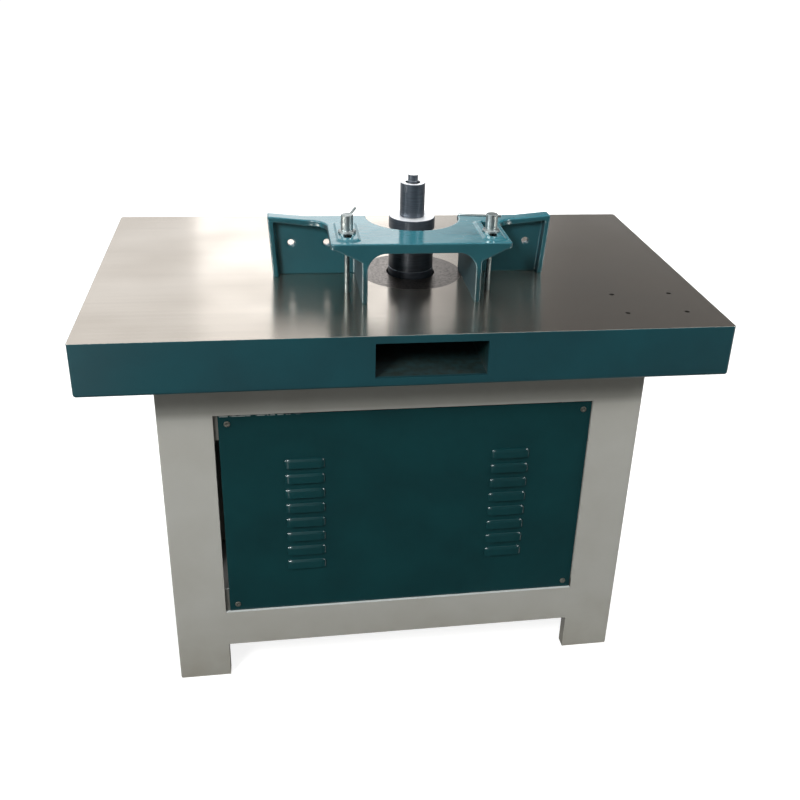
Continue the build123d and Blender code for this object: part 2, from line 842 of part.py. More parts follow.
# Spindle: stepped shaft, pulley below and a stack of collars above
base_flange_bottom = table_height + base_flange_proud - base_flange_height
lower_collar_bottom = table_height + base_flange_proud
spacer_bottom = lower_collar_bottom + lower_collar_height
upper_flange_bottom = spacer_bottom + spacer_count * spacer_height
upper_sleeve_bottom = upper_flange_bottom + upper_flange_height
stack_top = upper_sleeve_bottom + upper_sleeve_height
cap_top = base_flange_bottom - cap_gap
neck_top = cap_top - cap_thickness
upper_bearing_bottom = neck_top - bearing_width
lower_bearing_top = housing_bottom + bearing_width
pulley_seat = pulley_bottom + pulley_width + pulley_hub_rise
shaft_bottom = pulley_bottom - pulley_nut_height - shaft_tail
shaft_top = stack_top - arbor_drop
bolt_hole = top_bolt_diameter / 4 + seat_clearance

spindle_shaft = turned(
    [
        (0, shaft_bottom),
        (tail_diameter / 2, shaft_bottom),
        (tail_diameter / 2, pulley_seat),
        (journal_diameter / 2, pulley_seat),
        (journal_diameter / 2, lower_bearing_top),
        (core_diameter / 2, lower_bearing_top + loose_clearance),
        (core_diameter / 2, upper_bearing_bottom - loose_clearance),
        (journal_diameter / 2, upper_bearing_bottom),
        (journal_diameter / 2, base_flange_bottom),
        (arbor_diameter / 2, base_flange_bottom),
        (arbor_diameter / 2, shaft_top),
        (bolt_hole, shaft_top),
        (bolt_hole, shaft_top - top_bolt_depth),
        (0, shaft_top - top_bolt_depth),
    ],
    spindle_point,
)
save(spindle_shaft, "spindle_shaft")

arbor_hole = arbor_diameter / 2 + seat_clearance
stack = (
    ("base_flange", flange_diameter, base_flange_bottom, base_flange_height),
    ("lower_collar", collar_diameter, lower_collar_bottom, lower_collar_height),
    ("upper_flange", flange_diameter, upper_flange_bottom, upper_flange_height),
    ("upper_sleeve", sleeve_diameter, upper_sleeve_bottom, upper_sleeve_height),
)
for name, diameter, bottom, height in stack:
    profile = [
        (arbor_hole, bottom),
        (diameter / 2 - collar_edge, bottom),
        (diameter / 2, bottom + collar_edge),
        (diameter / 2, bottom + height - collar_edge),
        (diameter / 2 - collar_edge, bottom + height),
        (arbor_hole, bottom + height),
    ]
    save(turned(profile, spindle_point), name)

with BuildPart() as spacer_rings:
    for index in range(spacer_count):
        level = spacer_bottom + index * spacer_height
        with BuildSketch(Plane.XY.offset(level)):
            with Locations(spindle_point):
                Circle(sleeve_diameter / 2)
                Circle(arbor_hole, mode=Mode.SUBTRACT)
        extrude(amount=spacer_height - seat_clearance)
save(spacer_rings, "spacer_rings")

top_bolt = turned(
    [
        (0, shaft_top - top_bolt_depth + end_gap),
        (top_bolt_diameter / 4, shaft_top - top_bolt_depth + end_gap),
        (top_bolt_diameter / 4, stack_top),
        (top_washer_diameter / 2, stack_top),
        (top_washer_diameter / 2, stack_top + top_washer_height),
        (top_bolt_diameter / 2, stack_top + top_washer_height),
        (top_bolt_diameter / 2, stack_top + top_washer_height + top_bolt_height),
        (0, stack_top + top_washer_height + top_bolt_height),
    ],
    spindle_point,
)
save(top_bolt, "top_bolt")

# Housing that carries the spindle, with a flange plate for the carriage
housing_shoulder = chute_bottom - lift_up - lift_clearance
flange_plate_bottom = carriage_bottom + flange_plate_margin
flange_plate_top = carriage_bottom + carriage_height - flange_plate_margin
flange_plate_back = carriage_front
housing_bolt_spots = [
    (spindle_x + side * (flange_plate_width / 2 - carriage_bolt_diameter), level)
    for side in (-1, 1)
    for level in (flange_plate_bottom + flange_plate_margin, flange_plate_top - flange_plate_margin)
]
bearing_hole = bearing_diameter / 2 + seat_clearance
with BuildPart() as spindle_housing:
    with BuildSketch(Plane.XY.offset(housing_bottom)):
        with Locations(spindle_point):
            Circle(housing_diameter / 2)
    extrude(amount=housing_shoulder - housing_bottom)
    with BuildSketch(Plane.XY.offset(flange_plate_bottom)):
        with Locations((spindle_x, flange_plate_back)):
            Rectangle(flange_plate_width, flange_plate_thickness, align=from_middle_down)
            Rectangle(web_width, flange_plate_back - spindle_y, align=from_middle_down)
    extrude(amount=flange_plate_top - flange_plate_bottom)
    with BuildSketch(Plane.XY.offset(housing_shoulder)):
        with Locations(spindle_point):
            Circle(neck_diameter / 2)
    extrude(amount=neck_top - housing_shoulder)
    with Locations((*spindle_point, neck_top)):
        Hole(bearing_diameter / 2 - bearing_lip)
        Hole(bearing_hole, bearing_width)
    with Locations((*spindle_point, housing_bottom)):
        Hole(bearing_hole, bearing_width)
    with BuildSketch(upright(flange_plate_back)):
        with Locations(*housing_bolt_spots):
            Circle(carriage_bolt_diameter / 2 + bolt_clearance)
    extrude(amount=flange_plate_thickness, mode=Mode.SUBTRACT)
save(spindle_housing, "spindle_housing")

with BuildPart() as spindle_bearings:
    for level in (housing_bottom, upper_bearing_bottom):
        with BuildSketch(Plane.XY.offset(level)):
            with Locations(spindle_point):
                Circle(bearing_diameter / 2)
                Circle(journal_diameter / 2 + running_clearance, mode=Mode.SUBTRACT)
        extrude(amount=bearing_width)
save(spindle_bearings, "spindle_bearings")

with BuildPart() as bearing_caps:
    for level, diameter in ((housing_bottom - cap_thickness, lower_cap_diameter), (neck_top, neck_diameter)):
        with BuildSketch(Plane.XY.offset(level)):
            with Locations(spindle_point):
                Circle(diameter / 2)
                Circle(journal_diameter / 2 + loose_clearance, mode=Mode.SUBTRACT)
        extrude(amount=cap_thickness)
save(bearing_caps, "bearing_caps")

# Slideway: an upright casting with a dovetail and a channel for the lift screw
slope = tan(radians(dovetail_angle))
slideway_top = slideway_pad_bottom
slideway_bottom = carriage_bottom - lift_down - slideway_margin
box_back = way_y - dovetail_depth + channel_depth + channel_wall
lug_front = screw_y + gear_teeth * gear_module / 2 + gear_hub_height + lug_gap
bush_hole = screw_journal_diameter / 2 + bush_wall


def flank(y):
    """Half width of the dovetail at y."""
    return dovetail_root / 2 + (way_y - y) * slope


with BuildPart() as slideway:
    dovetail_tip = way_y - dovetail_depth
    with BuildSketch(Plane.XY.offset(slideway_bottom)):
        with Locations((spindle_x, way_y)):
            Rectangle(slideway_width, slideway_plate, align=from_middle_up)
            Rectangle(channel_width + 2 * channel_wall, box_back - way_y, align=from_middle_up)
    extrude(amount=slideway_top - slideway_bottom)
    with BuildSketch(Plane.XY.offset(slideway_bottom)):
        with Locations((spindle_x, 0)):
            Polygon(
                (-flank(way_y), way_y),
                (-flank(dovetail_tip), dovetail_tip),
                (flank(dovetail_tip), dovetail_tip),
                (flank(way_y), way_y),
                align=None,
            )
    extrude(amount=chute_bottom - lift_clearance - slideway_bottom)
    with BuildSketch(Plane.XY.offset(slideway_bottom + end_wall)):
        with Locations((spindle_x, dovetail_tip)):
            Rectangle(channel_width, channel_depth, align=from_middle_up)
    extrude(amount=slideway_top - slideway_bottom - 2 * end_wall, mode=Mode.SUBTRACT)
    with BuildSketch(Plane.XY.offset(slideway_top - end_wall)):
        with Locations((spindle_x, way_y)):
            Rectangle(slideway_width, slideway_flange, align=from_middle_up)
    extrude(amount=end_wall)
    with BuildSketch(Plane.XY.offset(slideway_bottom)):
        with Locations((spindle_x, way_y)):
            Rectangle(lug_width, lug_front + lug_thickness - way_y, align=from_middle_up)
    extrude(amount=end_wall)
    # Lug for the inner end of the handwheel shaft
    with BuildSketch(upright(lug_front)):
        with Locations(shaft_point):
            Circle(lug_width / 2)
            Rectangle(lug_width, slideway_bottom + end_wall - shaft_z, align=from_middle_up)
    extrude(amount=-lug_thickness)
    with BuildSketch(upright(lug_front)):
        with Locations(shaft_point):
            Circle(shaft_diameter / 2 + running_clearance)
    extrude(amount=-lug_thickness, mode=Mode.SUBTRACT)
    # Threaded boss for the lift lock
    with BuildSketch(upright(way_y)):
        with Locations(lock_point):
            Circle(lock_boss_diameter / 2)
    extrude(amount=-(slideway_plate + lock_boss_length))
    with BuildSketch(upright(way_y)):
        with Locations(lock_point):
            Circle(lock_diameter / 2 + running_clearance)
    extrude(amount=-(slideway_plate + lock_boss_length), mode=Mode.SUBTRACT)
    with Locations((*screw_point, slideway_bottom), (*screw_point, slideway_top)):
        Hole(bush_hole + seat_clearance, end_wall)
    with Locations(*[(x, y, slideway_top) for x, y in slideway_bolt_spots]):
        Hole(table_bolt_diameter / 2 + bolt_clearance, end_wall)
save(slideway, "slideway")

slideway_bolts = bolt_group(
    Plane.XY.offset(slideway_top - end_wall),
    slideway_bolt_spots,
    table_bolt_diameter,
    end_wall + slideway_pad_height - stiffener_wall - end_gap,
)
save(slideway_bolts, "slideway_bolts")

with BuildPart() as screw_bushes:
    for level in (slideway_bottom, slideway_top - end_wall):
        with BuildSketch(Plane.XY.offset(level)):
            with Locations(screw_point):
                Circle(bush_hole)
                Circle(screw_journal_diameter / 2 + running_clearance, mode=Mode.SUBTRACT)
        extrude(amount=end_wall)
save(screw_bushes, "screw_bushes")

# Carriage that slides on the dovetail
carriage_back = way_y - slide_clearance
groove_floor_y = way_y - dovetail_depth - slide_clearance
gib_gap = slide_clearance
bracket_back_right = spindle_x - flange_plate_width / 2 - loose_clearance
bracket_bolt_spots = [
    (bracket_back_right - share * bracket_back_width, level)
    for share in (0.25, 0.8)
    for level in (carriage_bottom + 2 * flange_plate_margin, carriage_bottom + 7 * flange_plate_margin)
]
with BuildPart() as carriage:
    with BuildSketch(Plane.XY.offset(carriage_bottom)):
        with Locations((spindle_x - carriage_left, carriage_front)):
            Rectangle(carriage_left + carriage_right, carriage_back - carriage_front, align=from_corner)
        with Locations((spindle_x, 0)):
            Polygon(
                (-flank(way_y) - gib_gap, way_y),
                (-flank(groove_floor_y) - gib_gap, groove_floor_y),
                (flank(groove_floor_y) + gib_gap + gib_thickness, groove_floor_y),
                (flank(way_y) + gib_gap + gib_thickness, way_y),
                align=None,
                mode=Mode.SUBTRACT,
            )
    extrude(amount=carriage_height)
    with BuildSketch(upright(carriage_front)):
        with Locations(*housing_bolt_spots, *bracket_bolt_spots):
            Circle(carriage_bolt_diameter / 2 + bolt_clearance)
    extrude(amount=-carriage_bolt_bite, mode=Mode.SUBTRACT)
save(carriage, "carriage")

with BuildPart() as gib_strip:
    with BuildSketch(Plane.XY.offset(carriage_bottom)):
        with Locations((spindle_x, 0)):
            Polygon(
                (flank(carriage_back) + gib_gap, carriage_back),
                (flank(carriage_back) + gib_gap + gib_thickness, carriage_back),
                (flank(groove_floor_y) + gib_gap + gib_thickness, groove_floor_y),
                (flank(groove_floor_y) + gib_gap, groove_floor_y),
                align=None,
            )
    extrude(amount=carriage_height)
save(gib_strip, "gib_strip")

nut_block_bottom = carriage_bottom + carriage_height / 2 - nut_block_height / 2
with BuildPart() as lift_nut:
    with BuildSketch(Plane.XY.offset(nut_block_bottom)):
        with Locations((spindle_x, groove_floor_y)):
            Rectangle(nut_block_width, screw_y + nut_block_back - groove_floor_y, align=from_middle_up)
        with Locations(screw_point):
            Circle(screw_diameter / 2 + running_clearance, mode=Mode.SUBTRACT)
    extrude(amount=nut_block_height)
save(lift_nut, "lift_nut")

# Lift screw and the bevel gears that join it to the handwheel shaft
screw_bottom = shaft_z + gear_teeth * gear_module / 2 - gear_face
lift_screw = turned(
    [
        (0, screw_bottom),
        (screw_journal_diameter / 2, screw_bottom),
        (screw_journal_diameter / 2, slideway_bottom + end_wall + loose_clearance),
        (screw_collar_diameter / 2, slideway_bottom + end_wall + loose_clearance),
        (screw_collar_diameter / 2, slideway_bottom + end_wall + screw_collar_height),
        (screw_diameter / 2, slideway_bottom + end_wall + screw_collar_height),
        (screw_diameter / 2, slideway_top - end_wall - loose_clearance),
        (screw_journal_diameter / 2, slideway_top - end_wall - loose_clearance),
        (screw_journal_diameter / 2, slideway_top - end_gap),
        (0, slideway_top - end_gap),
    ],
    screw_point,
)
save(lift_screw, "lift_screw")


def bevel_gear(apex_plane, first_tooth):
    """Mitre gear whose teeth all point at the plane's origin, with its axis along the normal.

    first_tooth is the angle in degrees, from the plane's X, of the middle of one tooth.
    """
    pitch_radius = gear_teeth * gear_module / 2
    cone_length = pitch_radius * 2**0.5
    addendum = gear_module
    dedendum = 1.25 * gear_module
    tip_slope = tan(radians(45) + atan(addendum / cone_length))
    root_slope = tan(radians(45) - atan(dedendum / cone_length))
    half_tooth = 0.43 * gear_module * 3.1416 / 2
    flank_slope = tan(radians(20))
    tip_angle = degrees((half_tooth - addendum * flank_slope) / (pitch_radius + addendum * cos(radians(45))))
    root_angle = degrees((half_tooth + dedendum * flank_slope) / (pitch_radius - dedendum * cos(radians(45))))
    corners = (
        (root_slope, -root_angle),
        (tip_slope, -tip_angle),
        (tip_slope, tip_angle),
        (root_slope, root_angle),
    )
    back = pitch_radius
    with BuildPart() as gear:
        for height in (back - gear_face, back):
            outline = []
            for tooth in range(gear_teeth):
                middle = first_tooth + tooth * 360 / gear_teeth
                for slope_out, turn in corners:
                    angle = radians(middle + turn)
                    outline.append((height * slope_out * cos(angle), height * slope_out * sin(angle)))
            with BuildSketch(apex_plane.offset(height)):
                Polygon(*outline, align=None)
        loft(ruled=True)
        with BuildSketch(apex_plane.offset(back)):
            Circle(gear_hub_diameter / 2)
        extrude(amount=gear_hub_height)
        with BuildSketch(apex_plane.offset(back - gear_face)):
            Circle(screw_journal_diameter / 2 + seat_clearance)
        extrude(amount=gear_face + gear_hub_height, mode=Mode.SUBTRACT)
    return gear


apex = (spindle_x, screw_y, shaft_z)
half_pitch = 180 / gear_teeth
screw_gear = bevel_gear(Plane(origin=apex, x_dir=(0, 1, 0), z_dir=(0, 0, 1)), half_pitch)
save(screw_gear, "screw_gear")
shaft_pinion = bevel_gear(Plane(origin=apex, x_dir=(0, 0, 1), z_dir=(0, 1, 0)), 0)
save(shaft_pinion, "shaft_pinion")

# Handwheel shaft, its bearing in the front sheet, and the handwheel
hub_front = front_y + flange_bearing_thickness + handwheel_gap
hub_back = hub_front + handwheel_hub_length
rim_y = (hub_front + hub_back) / 2
rim_radius = handwheel_diameter / 2 - handwheel_rim / 2
shaft_start = screw_y + gear_teeth * gear_module / 2 - gear_face
with BuildPart() as handwheel_shaft:
    with BuildSketch(upright(shaft_start)):
        with Locations(shaft_point):
            Circle(shaft_diameter / 2)
    extrude(amount=-(hub_back + handwheel_gap - shaft_start))
save(handwheel_shaft, "handwheel_shaft")


def flanged_bush(point, flange_diameter_mm, flange_thickness, sleeve, bore):
    """Flanged bush in the front sheet, with its flange outside."""
    with BuildPart() as bush:
        with BuildSketch(upright(front_y)):
            with Locations(point):
                Circle(flange_diameter_mm / 2)
        extrude(amount=-flange_thickness)
        with BuildSketch(upright(front_y - 3 * sheet)):
            with Locations(point):
                Circle(sleeve / 2)
        extrude(amount=-3 * sheet)
        with BuildSketch(upright(front_y - 3 * sheet)):
            with Locations(point):
                Circle(bore / 2 + running_clearance)
        extrude(amount=-(3 * sheet + flange_thickness), mode=Mode.SUBTRACT)
    return bush


shaft_flange = flanged_bush(
    shaft_point, flange_bearing_diameter, flange_bearing_thickness, flange_bearing_sleeve, shaft_diameter
)
save(shaft_flange, "shaft_flange")
lock_bush = flanged_bush(
    lock_point, lock_flange_diameter, lock_flange_thickness, lock_sleeve_diameter, lock_diameter
)
save(lock_bush, "lock_bush")

shaft_axis = Axis((spindle_x, 0, shaft_z), (0, 1, 0))
pin_angle = radians(60)
pin_point = (spindle_x + rim_radius * cos(pin_angle), shaft_z + rim_radius * sin(pin_angle))
with BuildPart() as handwheel:
    with BuildSketch(Plane.YZ.offset(spindle_x)):
        with Locations((rim_y, shaft_z + rim_radius)):
            Circle(handwheel_rim / 2)
    revolve(axis=shaft_axis)
    with BuildSketch(upright(hub_front)):
        with Locations(shaft_point):
            Circle(handwheel_hub_diameter / 2)
    extrude(amount=-handwheel_hub_length)
    for index in range(spoke_count):
        angle = pin_angle + radians(index * 360 / spoke_count)
        outward = Vector(cos(angle), 0, sin(angle))
        root = Vector(spindle_x, rim_y, shaft_z) + outward * (handwheel_hub_diameter / 4)
        tip = Vector(spindle_x, rim_y, shaft_z) + outward * rim_radius
        for place, half_long, half_short in ((root, 0.36, 0.2), (tip, 0.22, 0.14)):
            with BuildSketch(Plane(origin=place, x_dir=(0, 1, 0), z_dir=outward)):
                Ellipse(half_short * handwheel_hub_length, half_long * handwheel_hub_length)
        loft()
    with BuildSketch(upright(hub_front)):
        with Locations(shaft_point):
            Circle(shaft_diameter / 2 + seat_clearance)
    extrude(amount=-handwheel_hub_length, mode=Mode.SUBTRACT)
    with BuildSketch(upright(rim_y - handwheel_rim)):
        with Locations(pin_point):
            Circle(crank_pin_diameter / 2 + seat_clearance)
    extrude(amount=-2 * handwheel_rim, mode=Mode.SUBTRACT)
save(handwheel, "handwheel")

handle_start = rim_y + handwheel_rim / 2 + end_gap
handle_end = handle_start + crank_length
pin_axis = Axis((pin_point[0], 0, pin_point[1]), (0, 1, 0))
with BuildPart() as handle_pin:
    with BuildSketch(upright(rim_y - handwheel_rim / 2)):
        with Locations(pin_point):
            Circle(crank_pin_diameter / 2)
    extrude(amount=-(handle_end + loose_clearance - rim_y + handwheel_rim / 2))
    with BuildSketch(upright(handle_end + loose_clearance)):
        with Locations(pin_point):
            Circle(crank_pin_diameter / 2 + crank_taper)
    extrude(amount=-crank_pin_head)
save(handle_pin, "handle_pin")

with BuildPart() as crank_handle:
    handle_plane = Plane(origin=(pin_point[0], handle_start, pin_point[1]), x_dir=(0, 1, 0), z_dir=(1, 0, 0))
    with BuildSketch(handle_plane):
        with BuildLine():
            hole = crank_pin_diameter / 2 + running_clearance
            neck = crank_diameter / 2 - crank_taper
            base = Polyline((0, hole), (0, neck), (crank_collar, neck))
            grip = Spline(base @ 1, (0.6 * crank_length, crank_diameter / 2), (crank_length, neck))
            Polyline(grip @ 1, (crank_length, hole), base @ 0)
        make_face()
    revolve(axis=pin_axis)
save(crank_handle, "crank_handle")

# Lift lock: a screw that presses on the carriage, turned by a lever
lever_start = front_y + lock_flange_thickness + handwheel_gap
with BuildPart() as lock_screw:
    with BuildSketch(upright(carriage_back + loose_clearance)):
        with Locations(lock_point):
            Circle(lock_diameter / 2)
    extrude(amount=-(lever_start + lever_hub_length - carriage_back - loose_clearance))
save(lock_screw, "lock_screw")

lever_y = lever_start + lever_hub_length / 2
lever_direction = Vector(cos(radians(-60)), 0, sin(radians(-60)))
lever_root = Vector(lock_point[0], lever_y, lock_point[1])
knob_centre = lever_root + lever_direction * lever_length
with BuildPart() as lock_lever:
    with BuildSketch(upright(lever_start)):
        with Locations(lock_point):
            Circle(lever_hub_diameter / 2)
    extrude(amount=-lever_hub_length)
    for place, diameter in ((lever_root, lever_root_diameter), (knob_centre, lever_tip_diameter)):
        with BuildSketch(Plane(origin=place, x_dir=(0, 1, 0), z_dir=lever_direction)):
            Circle(diameter / 2)
    loft()
    with Locations(knob_centre):
        Sphere(lever_knob_diameter / 2)
    with BuildSketch(upright(lever_start)):
        with Locations(lock_point):
            Circle(lock_diameter / 2 + seat_clearance)
    extrude(amount=-lever_hub_length, mode=Mode.SUBTRACT)
save(lock_lever, "lock_lever")

# Belt drive
belt_levels = [pulley_bottom + pulley_width / 2 + side * belt_pitch / 2 for side in (-1, 1)]
belt_inner_width = belt_width - 2 * belt_thickness * tan(radians(belt_flank_angle))


def grooved_pulley(centre, diameter, bore, hub_diameter, top):
    """Two-groove pulley with a hub that reaches up to the given level."""
    radius = diameter / 2
    opening = belt_width / 2 + loose_clearance
    floor_radius = radius - belt_thickness - groove_floor
    floor_half = opening - (radius - floor_radius) * tan(radians(belt_flank_angle))
    pulley_top = pulley_bottom + pulley_width
    profile = [(bore, pulley_bottom), (radius, pulley_bottom)]
    for level in belt_levels:
        profile += [(radius, level - opening), (floor_radius, level - floor_half)]
        profile += [(floor_radius, level + floor_half), (radius, level + opening)]
    profile += [(radius, pulley_top), (hub_diameter / 2, pulley_top), (hub_diameter / 2, top), (bore, top)]
    return turned(profile, centre)


tail_hole = tail_diameter / 2 + seat_clearance
spindle_pulley = grooved_pulley(
    spindle_point, spindle_pulley_diameter, tail_hole, 1.5 * tail_diameter, pulley_seat
)
save(spindle_pulley, "spindle_pulley")

with BuildPart() as pulley_nut:
    with BuildSketch(Plane.XY.offset(pulley_bottom)):
        with Locations(spindle_point):
            RegularPolygon(pulley_nut_flats / 2, 6, major_radius=False)
            Circle(tail_hole, mode=Mode.SUBTRACT)
    extrude(amount=-pulley_nut_height)
save(pulley_nut, "pulley_nut")


def belt_outline(drop):
    """Outline of a belt loop, set in from the pulley rims by the given depth."""
    with BuildSketch(Plane.XY) as outline:
        with Locations(spindle_point):
            Circle(spindle_pulley_diameter / 2 - drop)
        with Locations(motor_point):
            Circle(motor_pulley_diameter / 2 - drop)
        make_hull()
    return outline.sketch


with BuildPart() as drive_belts:
    for level in belt_levels:
        with BuildSketch(Plane.XY.offset(level - belt_width / 2)):
            add(belt_outline(0))
            add(belt_outline(belt_thickness), mode=Mode.SUBTRACT)
        extrude(amount=belt_width)
    # Sloping flanks
    for rim in drive_belts.faces().filter_by(Axis.Z):
        chamfer(
            rim.inner_wires()[0].edges(),
            length=belt_thickness - belt_lip,
            length2=(belt_width - belt_inner_width) / 2,
            reference=rim,
        )
save(drive_belts, "drive_belts")

# Motor on its bracket
bracket_bottom = bracket_top - bracket_thickness
bracket_left = motor_x - motor_flange_diameter / 2 - bracket_margin
bracket_front = spindle_y - motor_flange_diameter / 2 - bracket_margin
bracket_face = carriage_front - bracket_thickness
motor_bolt_reach = motor_bolt_circle / 2 * cos(radians(45))
motor_bolt_spots = [
    (motor_x + side_x * motor_bolt_reach, spindle_y + side_y * motor_bolt_reach)
    for side_x in (-1, 1)
    for side_y in (-1, 1)
]
with BuildPart() as motor_bracket:
    with BuildSketch(Plane.XY.offset(bracket_bottom)):
        with Locations((bracket_left, bracket_front)):
            Rectangle(bracket_back_right - bracket_left, carriage_front - bracket_front, align=from_corner)
    extrude(amount=bracket_thickness)
    with BuildSketch(upright(carriage_front)):
        with Locations((bracket_back_right, bracket_bottom)):
            Rectangle(bracket_back_width, bracket_back_height, align=(Align.MAX, Align.MIN))
    extrude(amount=bracket_thickness)
    # Gusset between the motor and the spindle housing
    with BuildSketch(Plane.YZ.offset(bracket_back_right - bracket_back_width / 2)):
        Polygon(
            (bracket_face, bracket_top),
            (bracket_face - bracket_back_height / 2, bracket_top),
            (bracket_face, bracket_top + bracket_back_height / 2),
            align=None,
        )
    extrude(amount=bracket_rib / 2, both=True)
    # Slots for setting the belt, and room for the shaft
    with BuildSketch(Plane.XY.offset(bracket_bottom)):
        with Locations(*motor_bolt_spots):
            SlotOverall(motor_slot_length, carriage_bolt_diameter + 2 * bolt_clearance)
        with Locations(motor_point):
            SlotOverall(2 * motor_shaft_diameter + motor_slot_length, 2 * motor_shaft_diameter)
    extrude(amount=bracket_thickness, mode=Mode.SUBTRACT)
    with BuildSketch(upright(carriage_front)):
        with Locations(*bracket_bolt_spots):
            Circle(carriage_bolt_diameter / 2 + bolt_clearance)
    extrude(amount=bracket_thickness, mode=Mode.SUBTRACT)
save(motor_bracket, "motor_bracket")

housing_bolts = bolt_group(
    toward_operator(flange_plate_back - flange_plate_thickness),
    [(-x, z) for x, z in housing_bolt_spots],
    carriage_bolt_diameter,
    flange_plate_thickness + carriage_bolt_bite - end_gap,
)
bracket_bolts = bolt_group(
    toward_operator(bracket_face),
    [(-x, z) for x, z in bracket_bolt_spots],
    carriage_bolt_diameter,
    bracket_thickness + carriage_bolt_bite - end_gap,
)
with BuildPart() as carriage_bolts:
    add(housing_bolts.part)
    add(bracket_bolts.part)
save(carriage_bolts, "carriage_bolts")

motor_frame_bottom = bracket_top + motor_flange_thickness
motor_frame_top = motor_frame_bottom + motor_length
motor_shield_top = motor_frame_top + motor_shield_thickness
motor_cover_top = motor_shield_top + fan_cover_height
motor_shaft_hole = motor_shaft_diameter / 2 + running_clearance
core_bottom = motor_frame_bottom + (motor_length - stator_length) / 2
terminal_z = motor_frame_bottom + motor_length / 2
terminal_pad_front = spindle_y - motor_fin_diameter / 2

with BuildPart() as motor_flange:
    with BuildSketch(Plane.XY.offset(bracket_top)):
        with Locations(motor_point):
            Circle(motor_flange_diameter / 2)
            Circle(motor_shaft_hole, mode=Mode.SUBTRACT)
        with Locations(*motor_bolt_spots):
            Circle(carriage_bolt_diameter / 2 + bolt_clearance, mode=Mode.SUBTRACT)
    extrude(amount=motor_flange_thickness)
save(motor_flange, "motor_flange")

motor_bolts = bolt_group(
    Plane.XY.offset(bracket_bottom),
    motor_bolt_spots,
    carriage_bolt_diameter,
    bracket_thickness + motor_flange_thickness,
)
save(motor_bolts, "motor_bolts")

with BuildPart() as motor_frame:
    with BuildSketch(Plane.XY.offset(motor_frame_bottom)):
        with Locations(motor_point):
            Circle(motor_core_diameter / 2)
    extrude(amount=motor_length)
    with BuildSketch(Plane.XY.offset(motor_frame_bottom + 2 * carriage_bolt_diameter)):
        with Locations(motor_point):
            with PolarLocations(motor_core_diameter / 4, motor_fin_count):
                Rectangle(motor_fin_diameter / 2 - motor_core_diameter / 4, motor_fin_wall, align=from_left)
    extrude(amount=motor_length - 2 * carriage_bolt_diameter)
    # Flat pad for the terminal box
    with BuildSketch(upright(terminal_pad_front)):
        with Locations((motor_x, terminal_z)):
            Rectangle(terminal_width, terminal_height)
    extrude(amount=-terminal_pad_depth)
    with BuildSketch(Plane.XY.offset(motor_frame_bottom)):
        with Locations(motor_point):
            Circle(stator_diameter / 2 + seat_clearance)
    extrude(amount=motor_length, mode=Mode.SUBTRACT)
save(motor_frame, "motor_frame")

terminal_box_back = terminal_pad_front
with BuildPart() as terminal_box:
    with BuildSketch(upright(terminal_box_back)):
        with Locations((motor_x, terminal_z)):
            RectangleRounded(terminal_width, terminal_height, bend_radius)
    extrude(amount=terminal_depth)
    fillet(terminal_box.faces().sort_by(Axis.Y)[0].edges(), sheet)
save(terminal_box, "terminal_box")

motor_end_shield = turned(
    ring_points(motor_core_diameter / 2, motor_shaft_hole, motor_frame_top, motor_shield_top), motor_point
)
save(motor_end_shield, "motor_end_shield")

with BuildPart() as fan_cover:
    with BuildSketch(Plane.XY.offset(motor_shield_top)):
        with Locations(motor_point):
            Circle(motor_core_diameter / 2)
    extrude(amount=fan_cover_height)
    fillet(fan_cover.faces().sort_by(Axis.Z)[-1].edges(), 2 * fan_cover_wall)
    with BuildSketch(Plane.XY.offset(motor_shield_top)):
        with Locations(motor_point):
            Circle(motor_core_diameter / 2 - fan_cover_wall)
    extrude(amount=fan_cover_height - 2 * fan_cover_wall, mode=Mode.SUBTRACT)
    with BuildSketch(Plane.XY.offset(motor_cover_top)):
        with Locations(motor_point):
            with PolarLocations(motor_core_diameter / 3.4, 2 * fan_blades):
                SlotOverall(motor_core_diameter / 4, 3 * fan_cover_wall)
    extrude(amount=-2 * fan_cover_wall, mode=Mode.SUBTRACT)
save(fan_cover, "fan_cover")

with BuildPart() as stator_core:
    with BuildSketch(Plane.XY.offset(core_bottom)):
        with Locations(motor_point):
            Circle(stator_diameter / 2)
            Circle(rotor_diameter / 2 + air_gap, mode=Mode.SUBTRACT)
    extrude(amount=stator_length)
save(stator_core, "stator_core")

with BuildPart() as rotor_core:
    with BuildSketch(Plane.XY.offset(core_bottom)):
        with Locations(motor_point):
            Circle(rotor_diameter / 2)
            Circle(motor_shaft_diameter / 2 + seat_clearance, mode=Mode.SUBTRACT)
    extrude(amount=stator_length)
save(rotor_core, "rotor_core")

fan_bottom = motor_shield_top + fan_cover_height / 8
fan_height = fan_cover_height * 0.6
motor_shaft = turned(
    [
        (0, pulley_bottom),
        (tail_diameter / 2, pulley_bottom),
        (tail_diameter / 2, pulley_seat),
        (motor_shaft_diameter / 2, pulley_seat),
        (motor_shaft_diameter / 2, fan_bottom + fan_height),
        (0, fan_bottom + fan_height),
    ],
    motor_point,
)
save(motor_shaft, "motor_shaft")

motor_pulley = grooved_pulley(
    motor_point, motor_pulley_diameter, tail_hole, 2 * tail_diameter, pulley_seat
)
save(motor_pulley, "motor_pulley")

